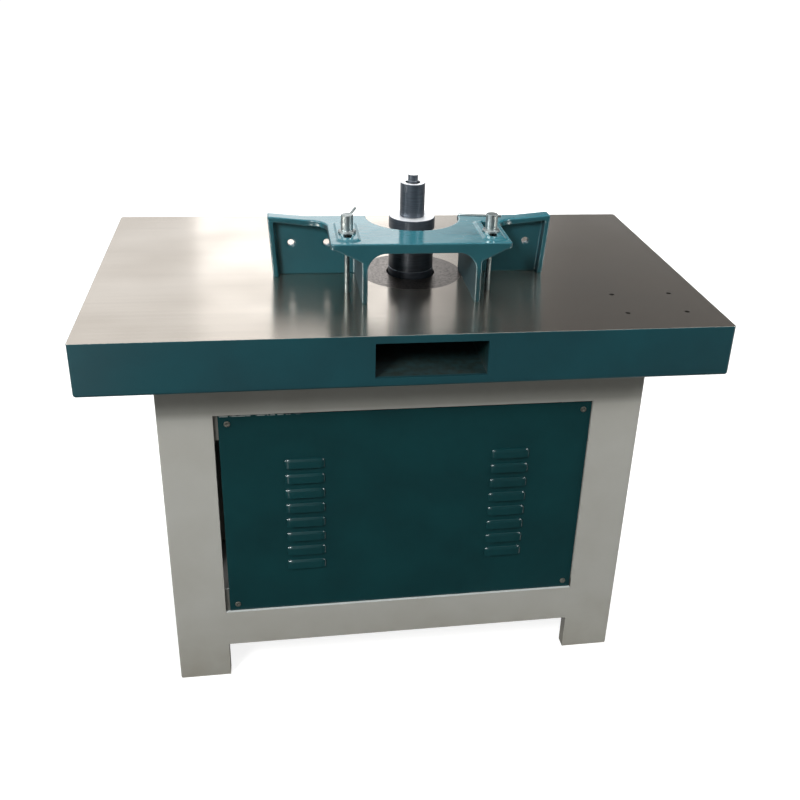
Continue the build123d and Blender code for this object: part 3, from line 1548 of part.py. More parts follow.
with BuildPart() as motor_fan:
    with BuildSketch(Plane.XY.offset(fan_bottom)):
        with Locations(motor_point):
            Circle(fan_diameter / 2)
    extrude(amount=2 * fan_cover_wall)
    with BuildSketch(Plane.XY.offset(fan_bottom)):
        with Locations(motor_point):
            Circle(motor_shaft_diameter)
            with PolarLocations(motor_shaft_diameter / 2, fan_blades):
                Rectangle((fan_diameter - motor_shaft_diameter) / 2, 2 * fan_cover_wall, align=from_left)
            Circle(fan_diameter / 2, mode=Mode.INTERSECT)
    extrude(amount=fan_height)
    with BuildSketch(Plane.XY.offset(fan_bottom)):
        with Locations(motor_point):
            Circle(motor_shaft_diameter / 2 + seat_clearance)
    extrude(amount=fan_height, mode=Mode.SUBTRACT)
save(motor_fan, "motor_fan")

# Switch box on the front sheet, with its two push buttons
switch_face = front_y + switch_depth
button_spots = [(switch_x, switch_z + side * button_spacing / 2) for side in (1, -1)]
with BuildPart() as switch_box:
    with BuildSketch(upright(front_y)):
        with Locations((switch_x, switch_z)):
            RectangleRounded(switch_width, switch_height, bend_radius)
    extrude(amount=-switch_depth)
    fillet(switch_box.faces().sort_by(Axis.Y)[-1].edges(), switch_wall)
    with BuildSketch(upright(front_y)):
        with Locations((switch_x, switch_z)):
            Rectangle(switch_width - 2 * switch_wall, switch_height - 2 * switch_wall)
    extrude(amount=switch_wall - switch_depth, mode=Mode.SUBTRACT)
    with BuildSketch(upright(switch_face)):
        with Locations(*button_spots):
            Circle(button_diameter / 2 + loose_clearance)
    extrude(amount=switch_wall, mode=Mode.SUBTRACT)
save(switch_box, "switch_box")

button_stop_y = switch_face - switch_wall - loose_clearance
for spot, name in zip(button_spots, ("start_button", "stop_button")):
    with BuildPart() as button:
        with BuildSketch(upright(button_stop_y)):
            with Locations(spot):
                Circle(button_flange_diameter / 2)
        extrude(amount=button_flange_height)
        with BuildSketch(upright(button_stop_y)):
            with Locations(spot):
                Circle(button_diameter / 2)
        extrude(amount=-(switch_face + button_proud - button_stop_y))
        if name == "stop_button":
            with BuildSketch(upright(switch_face + button_proud)):
                with Locations(spot):
                    Circle(stop_head_diameter / 2)
            extrude(amount=-stop_head_height)
        fillet(button.faces().sort_by(Axis.Y)[-1].edges(), switch_wall)
    save(button, name)
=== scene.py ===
"""Looks of the spindle moulder: its paints and metals, the studio and the photograph's camera."""

from math import cos, radians, sin

import bpy
from mathutils import Matrix, Vector


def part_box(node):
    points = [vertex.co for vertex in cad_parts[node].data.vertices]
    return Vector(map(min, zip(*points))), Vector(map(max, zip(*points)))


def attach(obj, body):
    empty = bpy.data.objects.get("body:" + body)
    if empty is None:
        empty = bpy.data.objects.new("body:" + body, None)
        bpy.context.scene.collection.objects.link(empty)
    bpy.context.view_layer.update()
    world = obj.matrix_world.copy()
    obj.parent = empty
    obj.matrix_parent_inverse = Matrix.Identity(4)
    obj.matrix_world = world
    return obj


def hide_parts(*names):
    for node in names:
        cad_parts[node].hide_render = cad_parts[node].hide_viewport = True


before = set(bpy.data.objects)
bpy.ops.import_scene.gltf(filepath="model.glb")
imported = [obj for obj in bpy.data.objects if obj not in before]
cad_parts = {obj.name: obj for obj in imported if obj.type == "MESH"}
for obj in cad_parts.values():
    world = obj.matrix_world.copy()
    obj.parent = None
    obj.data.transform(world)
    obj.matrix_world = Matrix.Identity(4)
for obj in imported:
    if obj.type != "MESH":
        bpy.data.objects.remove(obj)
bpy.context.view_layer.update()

MM = 0.001
bpy.ops.object.select_all(action="DESELECT")

# Places on the part that its finishes and pieces go by
table_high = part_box("table")[1]
table_top = table_high.z
plate_bottom = table_top - 15 * MM
chute_middle = 23 * MM
chute_half_width = 104 * MM
chute_floor = table_top - 83 * MM
fence_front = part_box("fence_casting")[0].y
panel_low, panel_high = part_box("rear_panel")
window_head = 644 * MM
sheet_inside = -246.5 * MM
side_sheet_inside = 474 * MM
foot_fold_top = 200 * MM
soil_top = 160 * MM

# Stretch that most of a noise pattern lies in, then of two multiplied, then a wider one for soft stains
noise_low = 0.3
noise_high = 0.7
worn_low = 0.15
worn_high = 0.4
stain_low = 0.2
stain_high = 0.8

# Size of the clouds in enamel, in millimetres
cloud_size = 110

# Ways that tool streaks run, in millimetres along each axis
upright_streak = (2, 2, 30)
round_streak = (30, 30, 2)
short_round_streak = (20, 20, 2)
stacked_streak = (40, 40, 1)
no_streak = (3, 3, 3)


def linear(code):
    """Linear RGBA of an sRGB hex colour."""
    shares = [int(code[start : start + 2], 16) / 255 for start in (0, 2, 4)]
    curved = [share / 12.92 if share <= 0.04045 else ((share + 0.055) / 1.055) ** 2.4 for share in shares]
    return (*curved, 1.0)


def feed(tree, node, inputs):
    """Set inputs by name, or in the order the node shows them, to values, sockets or what a node gives."""
    shown = [socket for socket in node.inputs if socket.enabled]
    pairs = inputs.items() if isinstance(inputs, dict) else enumerate(inputs)
    for key, value in pairs:
        socket = node.inputs[key] if isinstance(key, str) else shown[key]
        if isinstance(value, bpy.types.Node):
            value = next(given for given in value.outputs if given.enabled)
        if isinstance(value, bpy.types.NodeSocket):
            tree.links.new(value, socket)
        else:
            socket.default_value = value


def add(tree, kind, inputs=(), **settings):
    """Add one node with its settings and feed its inputs.

    MapRange takes a value, its stretch and the stretch it is laid over, and Mix takes a share and two ends.
    """
    made = tree.nodes.new("ShaderNode" + kind)
    for key, value in settings.items():
        setattr(made, key, value)
    feed(tree, made, inputs)
    return made


def per_metre(millimetres):
    """Texture scale that gives a pattern this size."""
    return 1 / (millimetres * MM)


def start(name):
    """A new finish: its material, node tree, surface and Object coordinates."""
    material = bpy.data.materials.new(name)
    material.use_nodes = True
    tree = material.node_tree
    place = add(tree, "TexCoord").outputs["Object"]
    return material, tree, tree.nodes["Principled BSDF"], place


def facing(tree, axis):
    """How far a face looks along one axis: 1 along it, 0 across it, -1 against it."""
    normal = add(tree, "NewGeometry").outputs["Normal"]
    return add(tree, "SeparateXYZ", (normal,)).outputs[axis]


def clouded(tree, pattern, low, high, colour, shade):
    """A colour that goes over to a shade of it as a pattern goes from low to high."""
    share = add(tree, "MapRange", (pattern, low, high))
    return add(tree, "Mix", (share, linear(colour), linear(shade)), data_type="RGBA")


def sheet_soil_and_painted_light(tree, place, grey):
    """Cabinet paint: a painted highlight on upturned folds, painted shade behind the window, on the feet's
    folds and under the table, and soil below.
    """
    spot = add(tree, "SeparateXYZ", (place,)).outputs
    # Painted highlight: faces that look up are painted paler, as the sill's top catches the light
    upturned = add(tree, "MapRange", (facing(tree, "Z"), 0.6, 0.8))
    grey = add(tree, "Mix", (upturned, grey, linear("D5DAD8")), data_type="RGBA")
    # Painted shade: what lies behind the rear sheet is painted darker
    rearward = add(tree, "MapRange", (facing(tree, "Y"), -0.5, -0.8))
    behind = add(tree, "MapRange", (spot["Y"], sheet_inside, sheet_inside + 0.5 * MM))
    inner = add(tree, "Math", (rearward, behind), operation="MULTIPLY")
    grey = add(tree, "Mix", (inner, grey, linear("5F5F5A")), data_type="RGBA")
    # Painted shade on the inner folds of the feet as well
    leftward = add(tree, "MapRange", (facing(tree, "X"), -0.7, -0.9))
    low = add(tree, "MapRange", (spot["Z"], foot_fold_top, foot_fold_top - 10 * MM))
    fold = add(tree, "Math", (leftward, low), operation="MULTIPLY")
    from_middle = add(tree, "Math", (spot["X"],), operation="ABSOLUTE")
    inboard = add(tree, "MapRange", (from_middle, side_sheet_inside + 4 * MM, side_sheet_inside))
    fold = add(tree, "Math", (fold, inboard), operation="MULTIPLY")
    grey = add(tree, "Mix", (fold, grey, linear("4E4E49")), data_type="RGBA")
    # Painted shade under the table's overhang: the sheet is painted darker from the window's head up
    dust_and_shade = add(tree, "MapRange", (spot["Z"], window_head - 8 * MM, window_head + 8 * MM, 0.0, 0.4))
    grey = add(tree, "Mix", (dust_and_shade, grey, linear("5E5F58")), data_type="RGBA")
    # Brooms and boots soil the foot of the cabinet
    near_floor = add(tree, "MapRange", (spot["Z"], soil_top, 0.0, 0.0, 0.7))
    patches = add(tree, "TexNoise", {"Vector": place, "Scale": per_metre(60), "Detail": 5.0})
    soil = add(tree, "Math", (near_floor, patches), operation="MULTIPLY")
    return add(tree, "Mix", (soil, grey, linear("857F6C")), data_type="RGBA")


def panel_marks(tree, place, teal):
    """Panel enamel: chipped pale along the left end of the top edge."""
    chips_low = panel_high.z - 2.4 * MM
    chips_end = -200 * MM
    spot = add(tree, "SeparateXYZ", (place,)).outputs
    edge = add(tree, "MapRange", (spot["Z"], chips_low, chips_low + 0.8 * MM))
    left = add(tree, "MapRange", (spot["X"], chips_end, chips_end - 60 * MM))
    flakes = add(tree, "TexNoise", {"Vector": place, "Scale": per_metre(9), "Detail": 3.0})
    flakes = add(tree, "MapRange", (flakes, 0.45, 0.52))
    chipped = add(tree, "Math", (left, flakes), operation="MULTIPLY")
    chipped = add(tree, "Math", (edge, chipped), operation="MULTIPLY")
    return add(tree, "Mix", (chipped, teal, linear("8E9997")), data_type="RGBA")


def sprayed(name, colour, shade, roughness, specular, peel, wave, wave_height, marks=None):
    """Sprayed enamel: a colour that clouds a little, orange peel and waves, both sized in millimetres."""
    material, tree, surface, place = start(name)
    cloud = add(tree, "TexNoise", {"Vector": place, "Scale": per_metre(cloud_size), "Detail": 5.0})
    fine = add(tree, "TexNoise", {"Vector": place, "Scale": per_metre(peel), "Detail": 2.0})
    waves = add(tree, "TexNoise", {"Vector": place, "Scale": per_metre(wave), "Detail": 2.0})
    coat = clouded(tree, cloud, noise_low, noise_high, colour, shade)
    if marks:
        coat = marks(tree, place, coat)
    rough = add(tree, "MapRange", (cloud, noise_low, noise_high, roughness, roughness + 0.1))
    skin = add(tree, "Bump", {"Strength": 0.06, "Distance": 0.15 * MM, "Height": fine})
    swell = {"Strength": 0.35, "Distance": wave_height * MM, "Height": waves, "Normal": skin}
    skin = add(tree, "Bump", swell)
    film = {"Base Color": coat, "Roughness": rough, "Specular IOR Level": specular, "Normal": skin}
    feed(tree, surface, film)
    return material


def cast_enamel():
    """Gloss enamel over a sand casting: mirrors the room on top, painted shade on its front, darker on its
    flanks, and dull on flanks the spray hardly reached.
    """
    material, tree, surface, place = start("gloss_enamel_on_casting")
    spot = add(tree, "SeparateXYZ", (place,)).outputs
    cloud = add(tree, "TexNoise", {"Vector": place, "Scale": per_metre(cloud_size), "Detail": 5.0})
    sideways = add(tree, "Math", (facing(tree, "X"),), operation="ABSOLUTE")
    flank = add(tree, "MapRange", (sideways, 0.75, 0.92))
    coat = clouded(tree, cloud, noise_low, noise_high, "28616B", "23555F")
    # Painted shade: the fence's front is painted darker, and its feet under the bridge most
    front_shade = 0.4
    foot_shade = 0.9
    foot_top = table_top + 70 * MM
    foot_back = fence_front + 10 * MM
    foot = add(tree, "MapRange", (spot["Z"], foot_top, foot_top - 25 * MM, front_shade, foot_shade))
    dark = add(tree, "MapRange", (spot["Y"], foot_back, foot_back + 4 * MM, foot, front_shade))
    front = add(tree, "MapRange", (facing(tree, "Y"), -0.7, -0.9, 0.0, dark))
    coat = add(tree, "Mix", (front, coat, linear("22393D")), data_type="RGBA")
    # The flanks are darker in colour too
    coat = add(tree, "Mix", (flank, coat, linear("12333A")), data_type="RGBA")
    gloss = add(tree, "MapRange", (cloud, noise_low, noise_high, 0.1, 0.18))
    rough = add(tree, "Mix", (flank, gloss, 0.7))
    # The sand's grain shows where the enamel is thin, and its waves all over
    grain = add(tree, "TexNoise", {"Vector": place, "Scale": per_metre(4), "Detail": 3.0})
    thin = add(tree, "MapRange", (flank, 0.0, 1.0, 0.05, 0.5))
    skin = add(tree, "Bump", {"Strength": thin, "Distance": 0.5 * MM, "Height": grain})
    waves = add(tree, "TexNoise", {"Vector": place, "Scale": per_metre(45), "Detail": 2.0})
    skin = add(tree, "Bump", {"Strength": 0.35, "Distance": 1.5 * MM, "Height": waves, "Normal": skin})
    feed(tree, surface, {"Base Color": coat, "Roughness": rough, "Specular IOR Level": 0.5, "Normal": skin})
    return material


def machined(name, colour, shade, roughness, streak, blotch, metallic=1.0, relief=0.08):
    """Bare or plated metal: tool streaks, sized along each axis, and blotches from hands and oil."""
    material, tree, surface, place = start(name)
    along = add(tree, "Mapping", {"Vector": place, "Scale": [per_metre(size) for size in streak]})
    lines = add(tree, "TexNoise", {"Vector": along, "Scale": 1.0, "Detail": 3.0})
    cloud = add(tree, "TexNoise", {"Vector": place, "Scale": per_metre(blotch), "Detail": 5.0})
    worn = add(tree, "Math", (lines, cloud), operation="MULTIPLY")
    coat = clouded(tree, worn, worn_low, worn_high, colour, shade)
    rough = add(tree, "MapRange", (worn, worn_low, worn_high, roughness, roughness + 0.14))
    bump = add(tree, "Bump", {"Strength": relief, "Distance": 0.1 * MM, "Height": lines})
    feed(tree, surface, {"Base Color": coat, "Roughness": rough, "Metallic": metallic, "Normal": bump})
    return material


def moulded(name, colour, shade, roughness, grain):
    """Moulded plastic or rubber: one colour with a fine grained skin and a few dull patches."""
    material, tree, surface, place = start(name)
    skin = add(tree, "TexVoronoi", {"Vector": place, "Scale": per_metre(grain)})
    cloud = add(tree, "TexNoise", {"Vector": place, "Scale": per_metre(25), "Detail": 3.0})
    coat = clouded(tree, cloud, noise_low, noise_high, colour, shade)
    rough = add(tree, "MapRange", (cloud, noise_low, noise_high, roughness, roughness + 0.15))
    bump = add(tree, "Bump", {"Strength": 0.15, "Distance": 0.1 * MM, "Height": skin})
    feed(tree, surface, {"Base Color": coat, "Roughness": rough, "Normal": bump})
    return material


def ground_table():
    """Cast iron table: a ground top that mirrors softly, enamel on the sides and below, and a dusty chute
    with painted shade on its floor and painted light on its back wall.
    """
    material, tree, surface, place = start("ground_cast_iron_and_enamel")
    spot = add(tree, "SeparateXYZ", (place,)).outputs
    across, depth, height = spot["X"], spot["Y"], spot["Z"]
    # The paint ends in a ragged line just under the ground face
    ragged = add(tree, "TexNoise", {"Vector": place, "Scale": per_metre(6), "Detail": 3.0})
    ragged = add(tree, "MapRange", (ragged, noise_low, noise_high, -0.1 * MM, 0.2 * MM))
    level = add(tree, "Math", (height, ragged), operation="ADD")
    top = add(tree, "MapRange", (level, table_top - 0.35 * MM, table_top - 0.15 * MM))
    # Grinding marks run along the table; real ones are 0.2 mm apart, drawn fifty times as coarse to show
    along = add(tree, "Mapping", {"Vector": place, "Scale": [per_metre(size) for size in (400, 10, 20)]})
    marks = add(tree, "TexNoise", {"Vector": along, "Scale": 1.0, "Detail": 1.0})
    marks = add(tree, "MapRange", (marks, 0.25, 0.75, 0.0, 0.12))
    stain = add(tree, "TexNoise", {"Vector": place, "Scale": per_metre(160), "Detail": 1.0})
    iron = clouded(tree, stain, stain_low, stain_high, "DCD4CA", "C8BFB4")
    iron = add(tree, "Mix", (marks, iron, linear("A9A097")), data_type="RGBA")
    cloud = add(tree, "TexNoise", {"Vector": place, "Scale": per_metre(130), "Detail": 5.0})
    enamel = clouded(tree, cloud, noise_low, noise_high, "1B474E", "173D44")
    # Holes and the ring seat are cut through the plate and stay bare
    from_middle = add(tree, "Math", (across,), operation="ABSOLUTE")
    end_room = add(tree, "Math", (table_high.x, from_middle), operation="SUBTRACT")
    from_middle = add(tree, "Math", (depth,), operation="ABSOLUTE")
    side_room = add(tree, "Math", (table_high.y, from_middle), operation="SUBTRACT")
    room = add(tree, "Math", (end_room, side_room), operation="MINIMUM")
    inside = add(tree, "MapRange", (room, 4 * MM, 5 * MM))
    plate = add(tree, "MapRange", (height, plate_bottom - 0.5 * MM, plate_bottom))
    bare = add(tree, "Math", (inside, plate), operation="MULTIPLY")
    painted = add(tree, "Mix", (bare, enamel, linear("2B2A28")), data_type="RGBA")
    # Sawdust and oil lie in the chute, its floor is painted darker over them as painted shade, and its back
    # wall is painted pale as painted light
    from_chute = add(tree, "Math", (across, chute_middle), operation="SUBTRACT")
    from_chute = add(tree, "Math", (from_chute,), operation="ABSOLUTE")
    chute_room = add(tree, "Math", (chute_half_width, from_chute), operation="SUBTRACT")
    between_walls = add(tree, "MapRange", (chute_room, 0.0, 0.2 * MM))
    past_mouth = add(tree, "MapRange", (side_room, 3 * MM, 9 * MM))
    chute = add(tree, "Math", (between_walls, past_mouth), operation="MULTIPLY")
    above_floor = add(tree, "MapRange", (height, chute_floor - 1 * MM, chute_floor))
    chute = add(tree, "Math", (chute, above_floor), operation="MULTIPLY")
    dust_and_shade = add(tree, "TexNoise", {"Vector": place, "Scale": per_metre(16), "Detail": 6.0})
    dust_and_shade = add(tree, "MapRange", (dust_and_shade, 0.38, 0.62, 0.6, 0.95))
    dust_shade_and_light = add(tree, "Math", (chute, dust_and_shade), operation="MULTIPLY")
    back_wall = add(tree, "MapRange", (facing(tree, "Y"), -0.5, -0.8))
    film = add(tree, "Mix", (back_wall, linear("0C1F1A"), linear("D8DCD4")), data_type="RGBA")
    painted = add(tree, "Mix", (dust_shade_and_light, painted, film), data_type="RGBA")
    coat = add(tree, "Mix", (top, painted, iron), data_type="RGBA")
    iron_rough = add(tree, "MapRange", (stain, stain_low, stain_high, 0.21, 0.265))
    paint_rough = add(tree, "MapRange", (cloud, noise_low, noise_high, 0.3, 0.4))
    paint_rough = add(tree, "Mix", (chute, paint_rough, 0.8))
    rough = add(tree, "Mix", (top, paint_rough, iron_rough))
    peel = add(tree, "TexNoise", {"Vector": place, "Scale": per_metre(5), "Detail": 2.0})
    peel_strength = add(tree, "MapRange", (top, 0.0, 1.0, 0.05, 0.0))
    bump = add(tree, "Bump", {"Strength": peel_strength, "Distance": 0.15 * MM, "Height": peel})
    feed(tree, surface, {"Base Color": coat, "Metallic": top, "Roughness": rough, "Normal": bump})
    # Reflections smear across the grinding marks, not along them
    grain = add(tree, "Tangent", direction_type="RADIAL", axis="X")
    feed(tree, surface, {"Anisotropic": 0.75, "Tangent": grain, "Specular IOR Level": 0.3})
    return material


def turned_collar():
    """Blued steel collars: dark turned sides, and upward end faces painted bright, as worn steel where the
    cutters clamp and as a painted reflection.
    """
    material, tree, surface, place = start("blued_turned_steel")
    along = add(tree, "Mapping", {"Vector": place, "Scale": [per_metre(size) for size in round_streak]})
    lines = add(tree, "TexNoise", {"Vector": along, "Scale": 1.0, "Detail": 3.0})
    # Upward end faces are painted bright: partly worn metal, partly a painted reflection of the pale room
    # above
    end_face = add(tree, "MapRange", (facing(tree, "Z"), 0.85, 0.95))
    wear = add(tree, "TexNoise", {"Vector": place, "Scale": per_metre(12), "Detail": 4.0})
    wear = add(tree, "MapRange", (wear, 0.15, 0.35))
    worn_and_painted_sheen = add(tree, "Math", (end_face, wear), operation="MULTIPLY")
    coat = clouded(tree, lines, noise_low, noise_high, "4A525B", "394049")
    coat = add(tree, "Mix", (worn_and_painted_sheen, coat, linear("E6E8EA")), data_type="RGBA")
    rough = add(tree, "MapRange", (lines, noise_low, noise_high, 0.3, 0.42))
    bump = add(tree, "Bump", {"Strength": 0.06, "Distance": 0.1 * MM, "Height": lines})
    feed(tree, surface, {"Base Color": coat, "Roughness": rough, "Metallic": 0.45, "Normal": bump})
    return material


# The table's ring is dulled by chips and oil and gives back only a grey blur
ring_iron = machined(
    "dulled_cast_iron", "857E79", "645F5C", roughness=0.28, streak=no_streak, blotch=6, relief=0.015
)
fence_enamel = cast_enamel()
# The panel's thin sheet sways under a glossy coat
panel_look = {"roughness": 0.12, "specular": 0.5, "peel": 3, "wave": 220, "wave_height": 2.0}
panel_enamel = sprayed("dark_enamel_on_sheet", "123B3E", "0E3437", marks=panel_marks, **panel_look)
# The cabinet's paint is nearly matt over flat sheet
cabinet_look = {"roughness": 0.5, "specular": 0.3, "peel": 2, "wave": 260, "wave_height": 1.0}
cabinet_paint = sprayed("eggshell_paint_on_sheet", "ABABA5", "A4A39C", marks=sheet_soil_and_painted_light, **cabinet_look)
# Zinc plate is pale and softly bright, and goes dull and dark where damp has been at it
zinc = machined("zinc_plated_steel", "A6AEAE", "7E8787", roughness=0.34, streak=upright_streak, blotch=9)
dull_zinc = machined(
    "dulled_zinc_plate", "6A6C64", "4A4C46", roughness=0.5, streak=no_streak, blotch=4, metallic=0.6
)
blued = turned_collar()
# Ground steel has the sharpest gleam of all, and bronze a warm one
bright = machined("ground_steel", "C2C2C0", "9C9C9A", roughness=0.22, streak=round_streak, blotch=20)
bronze = machined("machined_bronze", "C79A55", "A67C3C", roughness=0.28, streak=short_round_streak, blotch=15)
# Primer lies flat over the hidden castings
primer_look = {"roughness": 0.55, "specular": 0.3, "peel": 3, "wave": 30, "wave_height": 1.5}
primed_iron = sprayed("primed_cast_iron", "55585A", "46494B", **primer_look)
# The motor's enamel has a low sheen over cast alloy
motor_look = {"roughness": 0.4, "specular": 0.35, "peel": 3, "wave": 40, "wave_height": 0.8}
motor_paint = sprayed("grey_enamel_on_alloy", "8A8F93", "7A7F83", **motor_look)
# The edges of the core's sheets show as fine dark and pale lines
lamination = machined(
    "stacked_core_sheet", "7C7C7E", "4C4C4E", roughness=0.4, streak=stacked_streak, blotch=10
)
# Black enamel on the handwheel looks wet over a slightly lumpy casting
handwheel_look = {"roughness": 0.22, "specular": 0.45, "peel": 3, "wave": 30, "wave_height": 1.0}
black_enamel = sprayed("black_enamel_on_casting", "1B1C1E", "141516", **handwheel_look)
# Rubber is dull, nylon satin, the phenolic knob polished, and the switch's plastics in between
belt_rubber = moulded("belt_rubber", "1A1A1A", "222120", roughness=0.7, grain=1.2)
fan_plastic = moulded("fan_nylon", "1C1D1E", "161617", roughness=0.5, grain=1.0)
knob_plastic = moulded("phenolic_knob", "121212", "181717", roughness=0.18, grain=1.5)
box_plastic = moulded("grey_switch_plastic", "8E908C", "858783", roughness=0.42, grain=0.9)
green_plastic = moulded("green_button_plastic", "1F8A3B", "1A7833", roughness=0.25, grain=1.0)
red_plastic = moulded("red_button_plastic", "B8211C", "A31B17", roughness=0.25, grain=1.0)

finishes = {
    ground_table(): ["table"],
    ring_iron: ["table_ring"],
    fence_enamel: ["fence_casting"],
    panel_enamel: ["rear_panel"],
    cabinet_paint: ["rear_sheet", "front_sheet", "left_side_sheet", "right_side_sheet"],
    zinc: [
        "fence_studs",
        "clamp_nut_left",
        "clamp_nut_right",
        "clamp_lever",
        "table_bolts",
        "slideway_bolts",
        "carriage_bolts",
        "motor_bolts",
        "pulley_nut",
    ],
    dull_zinc: ["panel_screws"],
    blued: ["base_flange", "lower_collar", "spacer_rings", "upper_flange", "upper_sleeve", "top_bolt"],
    bright: [
        "spindle_shaft",
        "lift_screw",
        "handwheel_shaft",
        "handle_pin",
        "lock_screw",
        "spindle_bearings",
        "motor_shaft",
        "gib_strip",
        "screw_gear",
        "shaft_pinion",
    ],
    primed_iron: [
        "slideway",
        "carriage",
        "spindle_housing",
        "bearing_caps",
        "motor_bracket",
        "spindle_pulley",
        "motor_pulley",
        "shaft_flange",
        "lock_bush",
    ],
    bronze: ["lift_nut", "screw_bushes"],
    motor_paint: ["motor_frame", "motor_flange", "motor_end_shield", "terminal_box", "fan_cover"],
    lamination: ["stator_core", "rotor_core"],
    black_enamel: ["handwheel", "lock_lever"],
    belt_rubber: ["drive_belts"],
    fan_plastic: ["motor_fan"],
    knob_plastic: ["crank_handle"],
    box_plastic: ["switch_box"],
    green_plastic: ["start_button"],
    red_plastic: ["stop_button"],
}
for finish, names in finishes.items():
    for name in names:
        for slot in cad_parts[name].material_slots:
            slot.material = finish


def placed(name, data):
    """A new object in the scene."""
    made = bpy.data.objects.new(name, data)
    bpy.context.scene.collection.objects.link(made)
    return made


def pick(piece):
    """Select one object alone and make it active."""
    bpy.ops.object.select_all(action="DESELECT")
    piece.select_set(True)
    bpy.context.view_layer.objects.active = piece


def coated(piece, finish):
    """Give a piece one finish all over."""
    piece.data.materials.clear()
    piece.data.materials.append(finish)


def copied(node, name, finish):
    """A merged copy of a CAD node's mesh as a new piece with its finish."""
    piece = placed(name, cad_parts[node].data.copy())
    coated(piece, finish)
    pick(piece)
    bpy.ops.object.mode_set(mode="EDIT")
    bpy.ops.mesh.select_all(action="SELECT")
    bpy.ops.mesh.remove_doubles(threshold=0.01 * MM)
    bpy.ops.object.mode_set(mode="OBJECT")
    return piece


def finished(piece, kind, **settings):
    """Add one modifier with its settings and apply it."""
    pick(piece)
    modifier = piece.modifiers.new(kind.lower(), kind)
    for key, value in settings.items():
        setattr(modifier, key, value)
    bpy.ops.object.modifier_apply(modifier=modifier.name)


def eased(piece, width, segments):
    """Bevel a piece's sharp edges."""
    finished(piece, "BEVEL", width=width, segments=segments, limit_method="ANGLE", angle_limit=radians(60))


def carved(piece, tool):
    """Cut a tool's shape out of a piece and throw the tool away."""
    finished(piece, "BOOLEAN", operation="DIFFERENCE", object=tool, solver="EXACT")
    bpy.data.objects.remove(tool)


def settle():
    """Put the selected piece's place, turn and size into its mesh."""
    bpy.ops.object.transform_apply(location=True, rotation=True, scale=True)


def block(name, low, high):
    """A box between two corners, its own mesh, at the origin."""
    bpy.ops.object.select_all(action="DESELECT")
    bpy.ops.mesh.primitive_cube_add(size=1, location=[(a + b) / 2 for a, b in zip(low, high)])
    piece = bpy.context.active_object
    piece.name = name
    piece.scale = [b - a for a, b in zip(low, high)]
    settle()
    return piece


def rod(sides, radius, length, middle, turn=(0, 0, 0)):
    """A round bar about its middle, its own mesh, at the origin."""
    bpy.ops.object.select_all(action="DESELECT")
    bpy.ops.mesh.primitive_cylinder_add(
        vertices=sides, radius=radius, depth=length, location=middle, rotation=turn
    )
    piece = bpy.context.active_object
    settle()
    return piece


def lathed(name, outline, foot, **settings):
    """An outline of radius and height, swept round the upright line through foot."""
    line = bpy.data.meshes.new(name)
    points = [(radius, 0, height) for radius, height in outline]
    line.from_pydata(points, [(step, step + 1) for step in range(len(points) - 1)], [])
    piece = placed(name, line)
    finished(piece, "SCREW", use_merge_vertices=True, **settings)
    piece.location = foot
    settle()
    return piece


def joined(first, others):
    """Join pieces into the first one."""
    pick(first)
    for other in others:
        other.select_set(True)
    bpy.ops.object.join()


def turned_out(piece):
    """Point all of a piece's faces outwards."""
    pick(piece)
    bpy.ops.object.mode_set(mode="EDIT")
    bpy.ops.mesh.select_all(action="SELECT")
    bpy.ops.mesh.normals_make_consistent(inside=False)
    bpy.ops.object.mode_set(mode="OBJECT")


def smoothed(piece, degrees):
    """Shade a piece smooth but for edges sharper than this."""
    pick(piece)
    bpy.ops.object.shade_smooth_by_angle(angle=radians(degrees))


def opened(piece, test):
    """Delete the faces of a piece that pass a test."""
    pick(piece)
    bpy.ops.object.mode_set(mode="EDIT")
    bpy.ops.mesh.select_mode(type="FACE")
    bpy.ops.mesh.select_all(action="DESELECT")
    bpy.ops.object.mode_set(mode="OBJECT")
    for face in piece.data.polygons:
        face.select = test(face)
    bpy.ops.object.mode_set(mode="EDIT")
    bpy.ops.mesh.delete(type="FACE")
    bpy.ops.object.mode_set(mode="OBJECT")


# Fence: the casting with every edge and corner rounded as the sand mould leaves it
fence = copied("fence_casting", "rounded_fence_casting", fence_enamel)
finished(fence, "REMESH", mode="VOXEL", voxel_size=1.5 * MM)
finished(fence, "SMOOTH", factor=0.5, iterations=8)
finished(fence, "DECIMATE", ratio=0.55)
bpy.ops.object.shade_smooth()
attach(fence, "fence")
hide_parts("fence_casting")

# Louvred panel: a sheet pressed into round-ended hoods that open below
louvre_rise = 7.5 * MM
louvre_height = 20 * MM
louvre_half = 40 * MM
louvre_corner = 7 * MM
louvre_round = 0.95 * louvre_corner
louvre_slope = 0.35
louvre_stretch = 2.0
louvre_skin = 1.5 * MM
opening_half = 33 * MM
opening_height = 13 * MM
opening_margin = 1 * MM
louvre_rows = 8
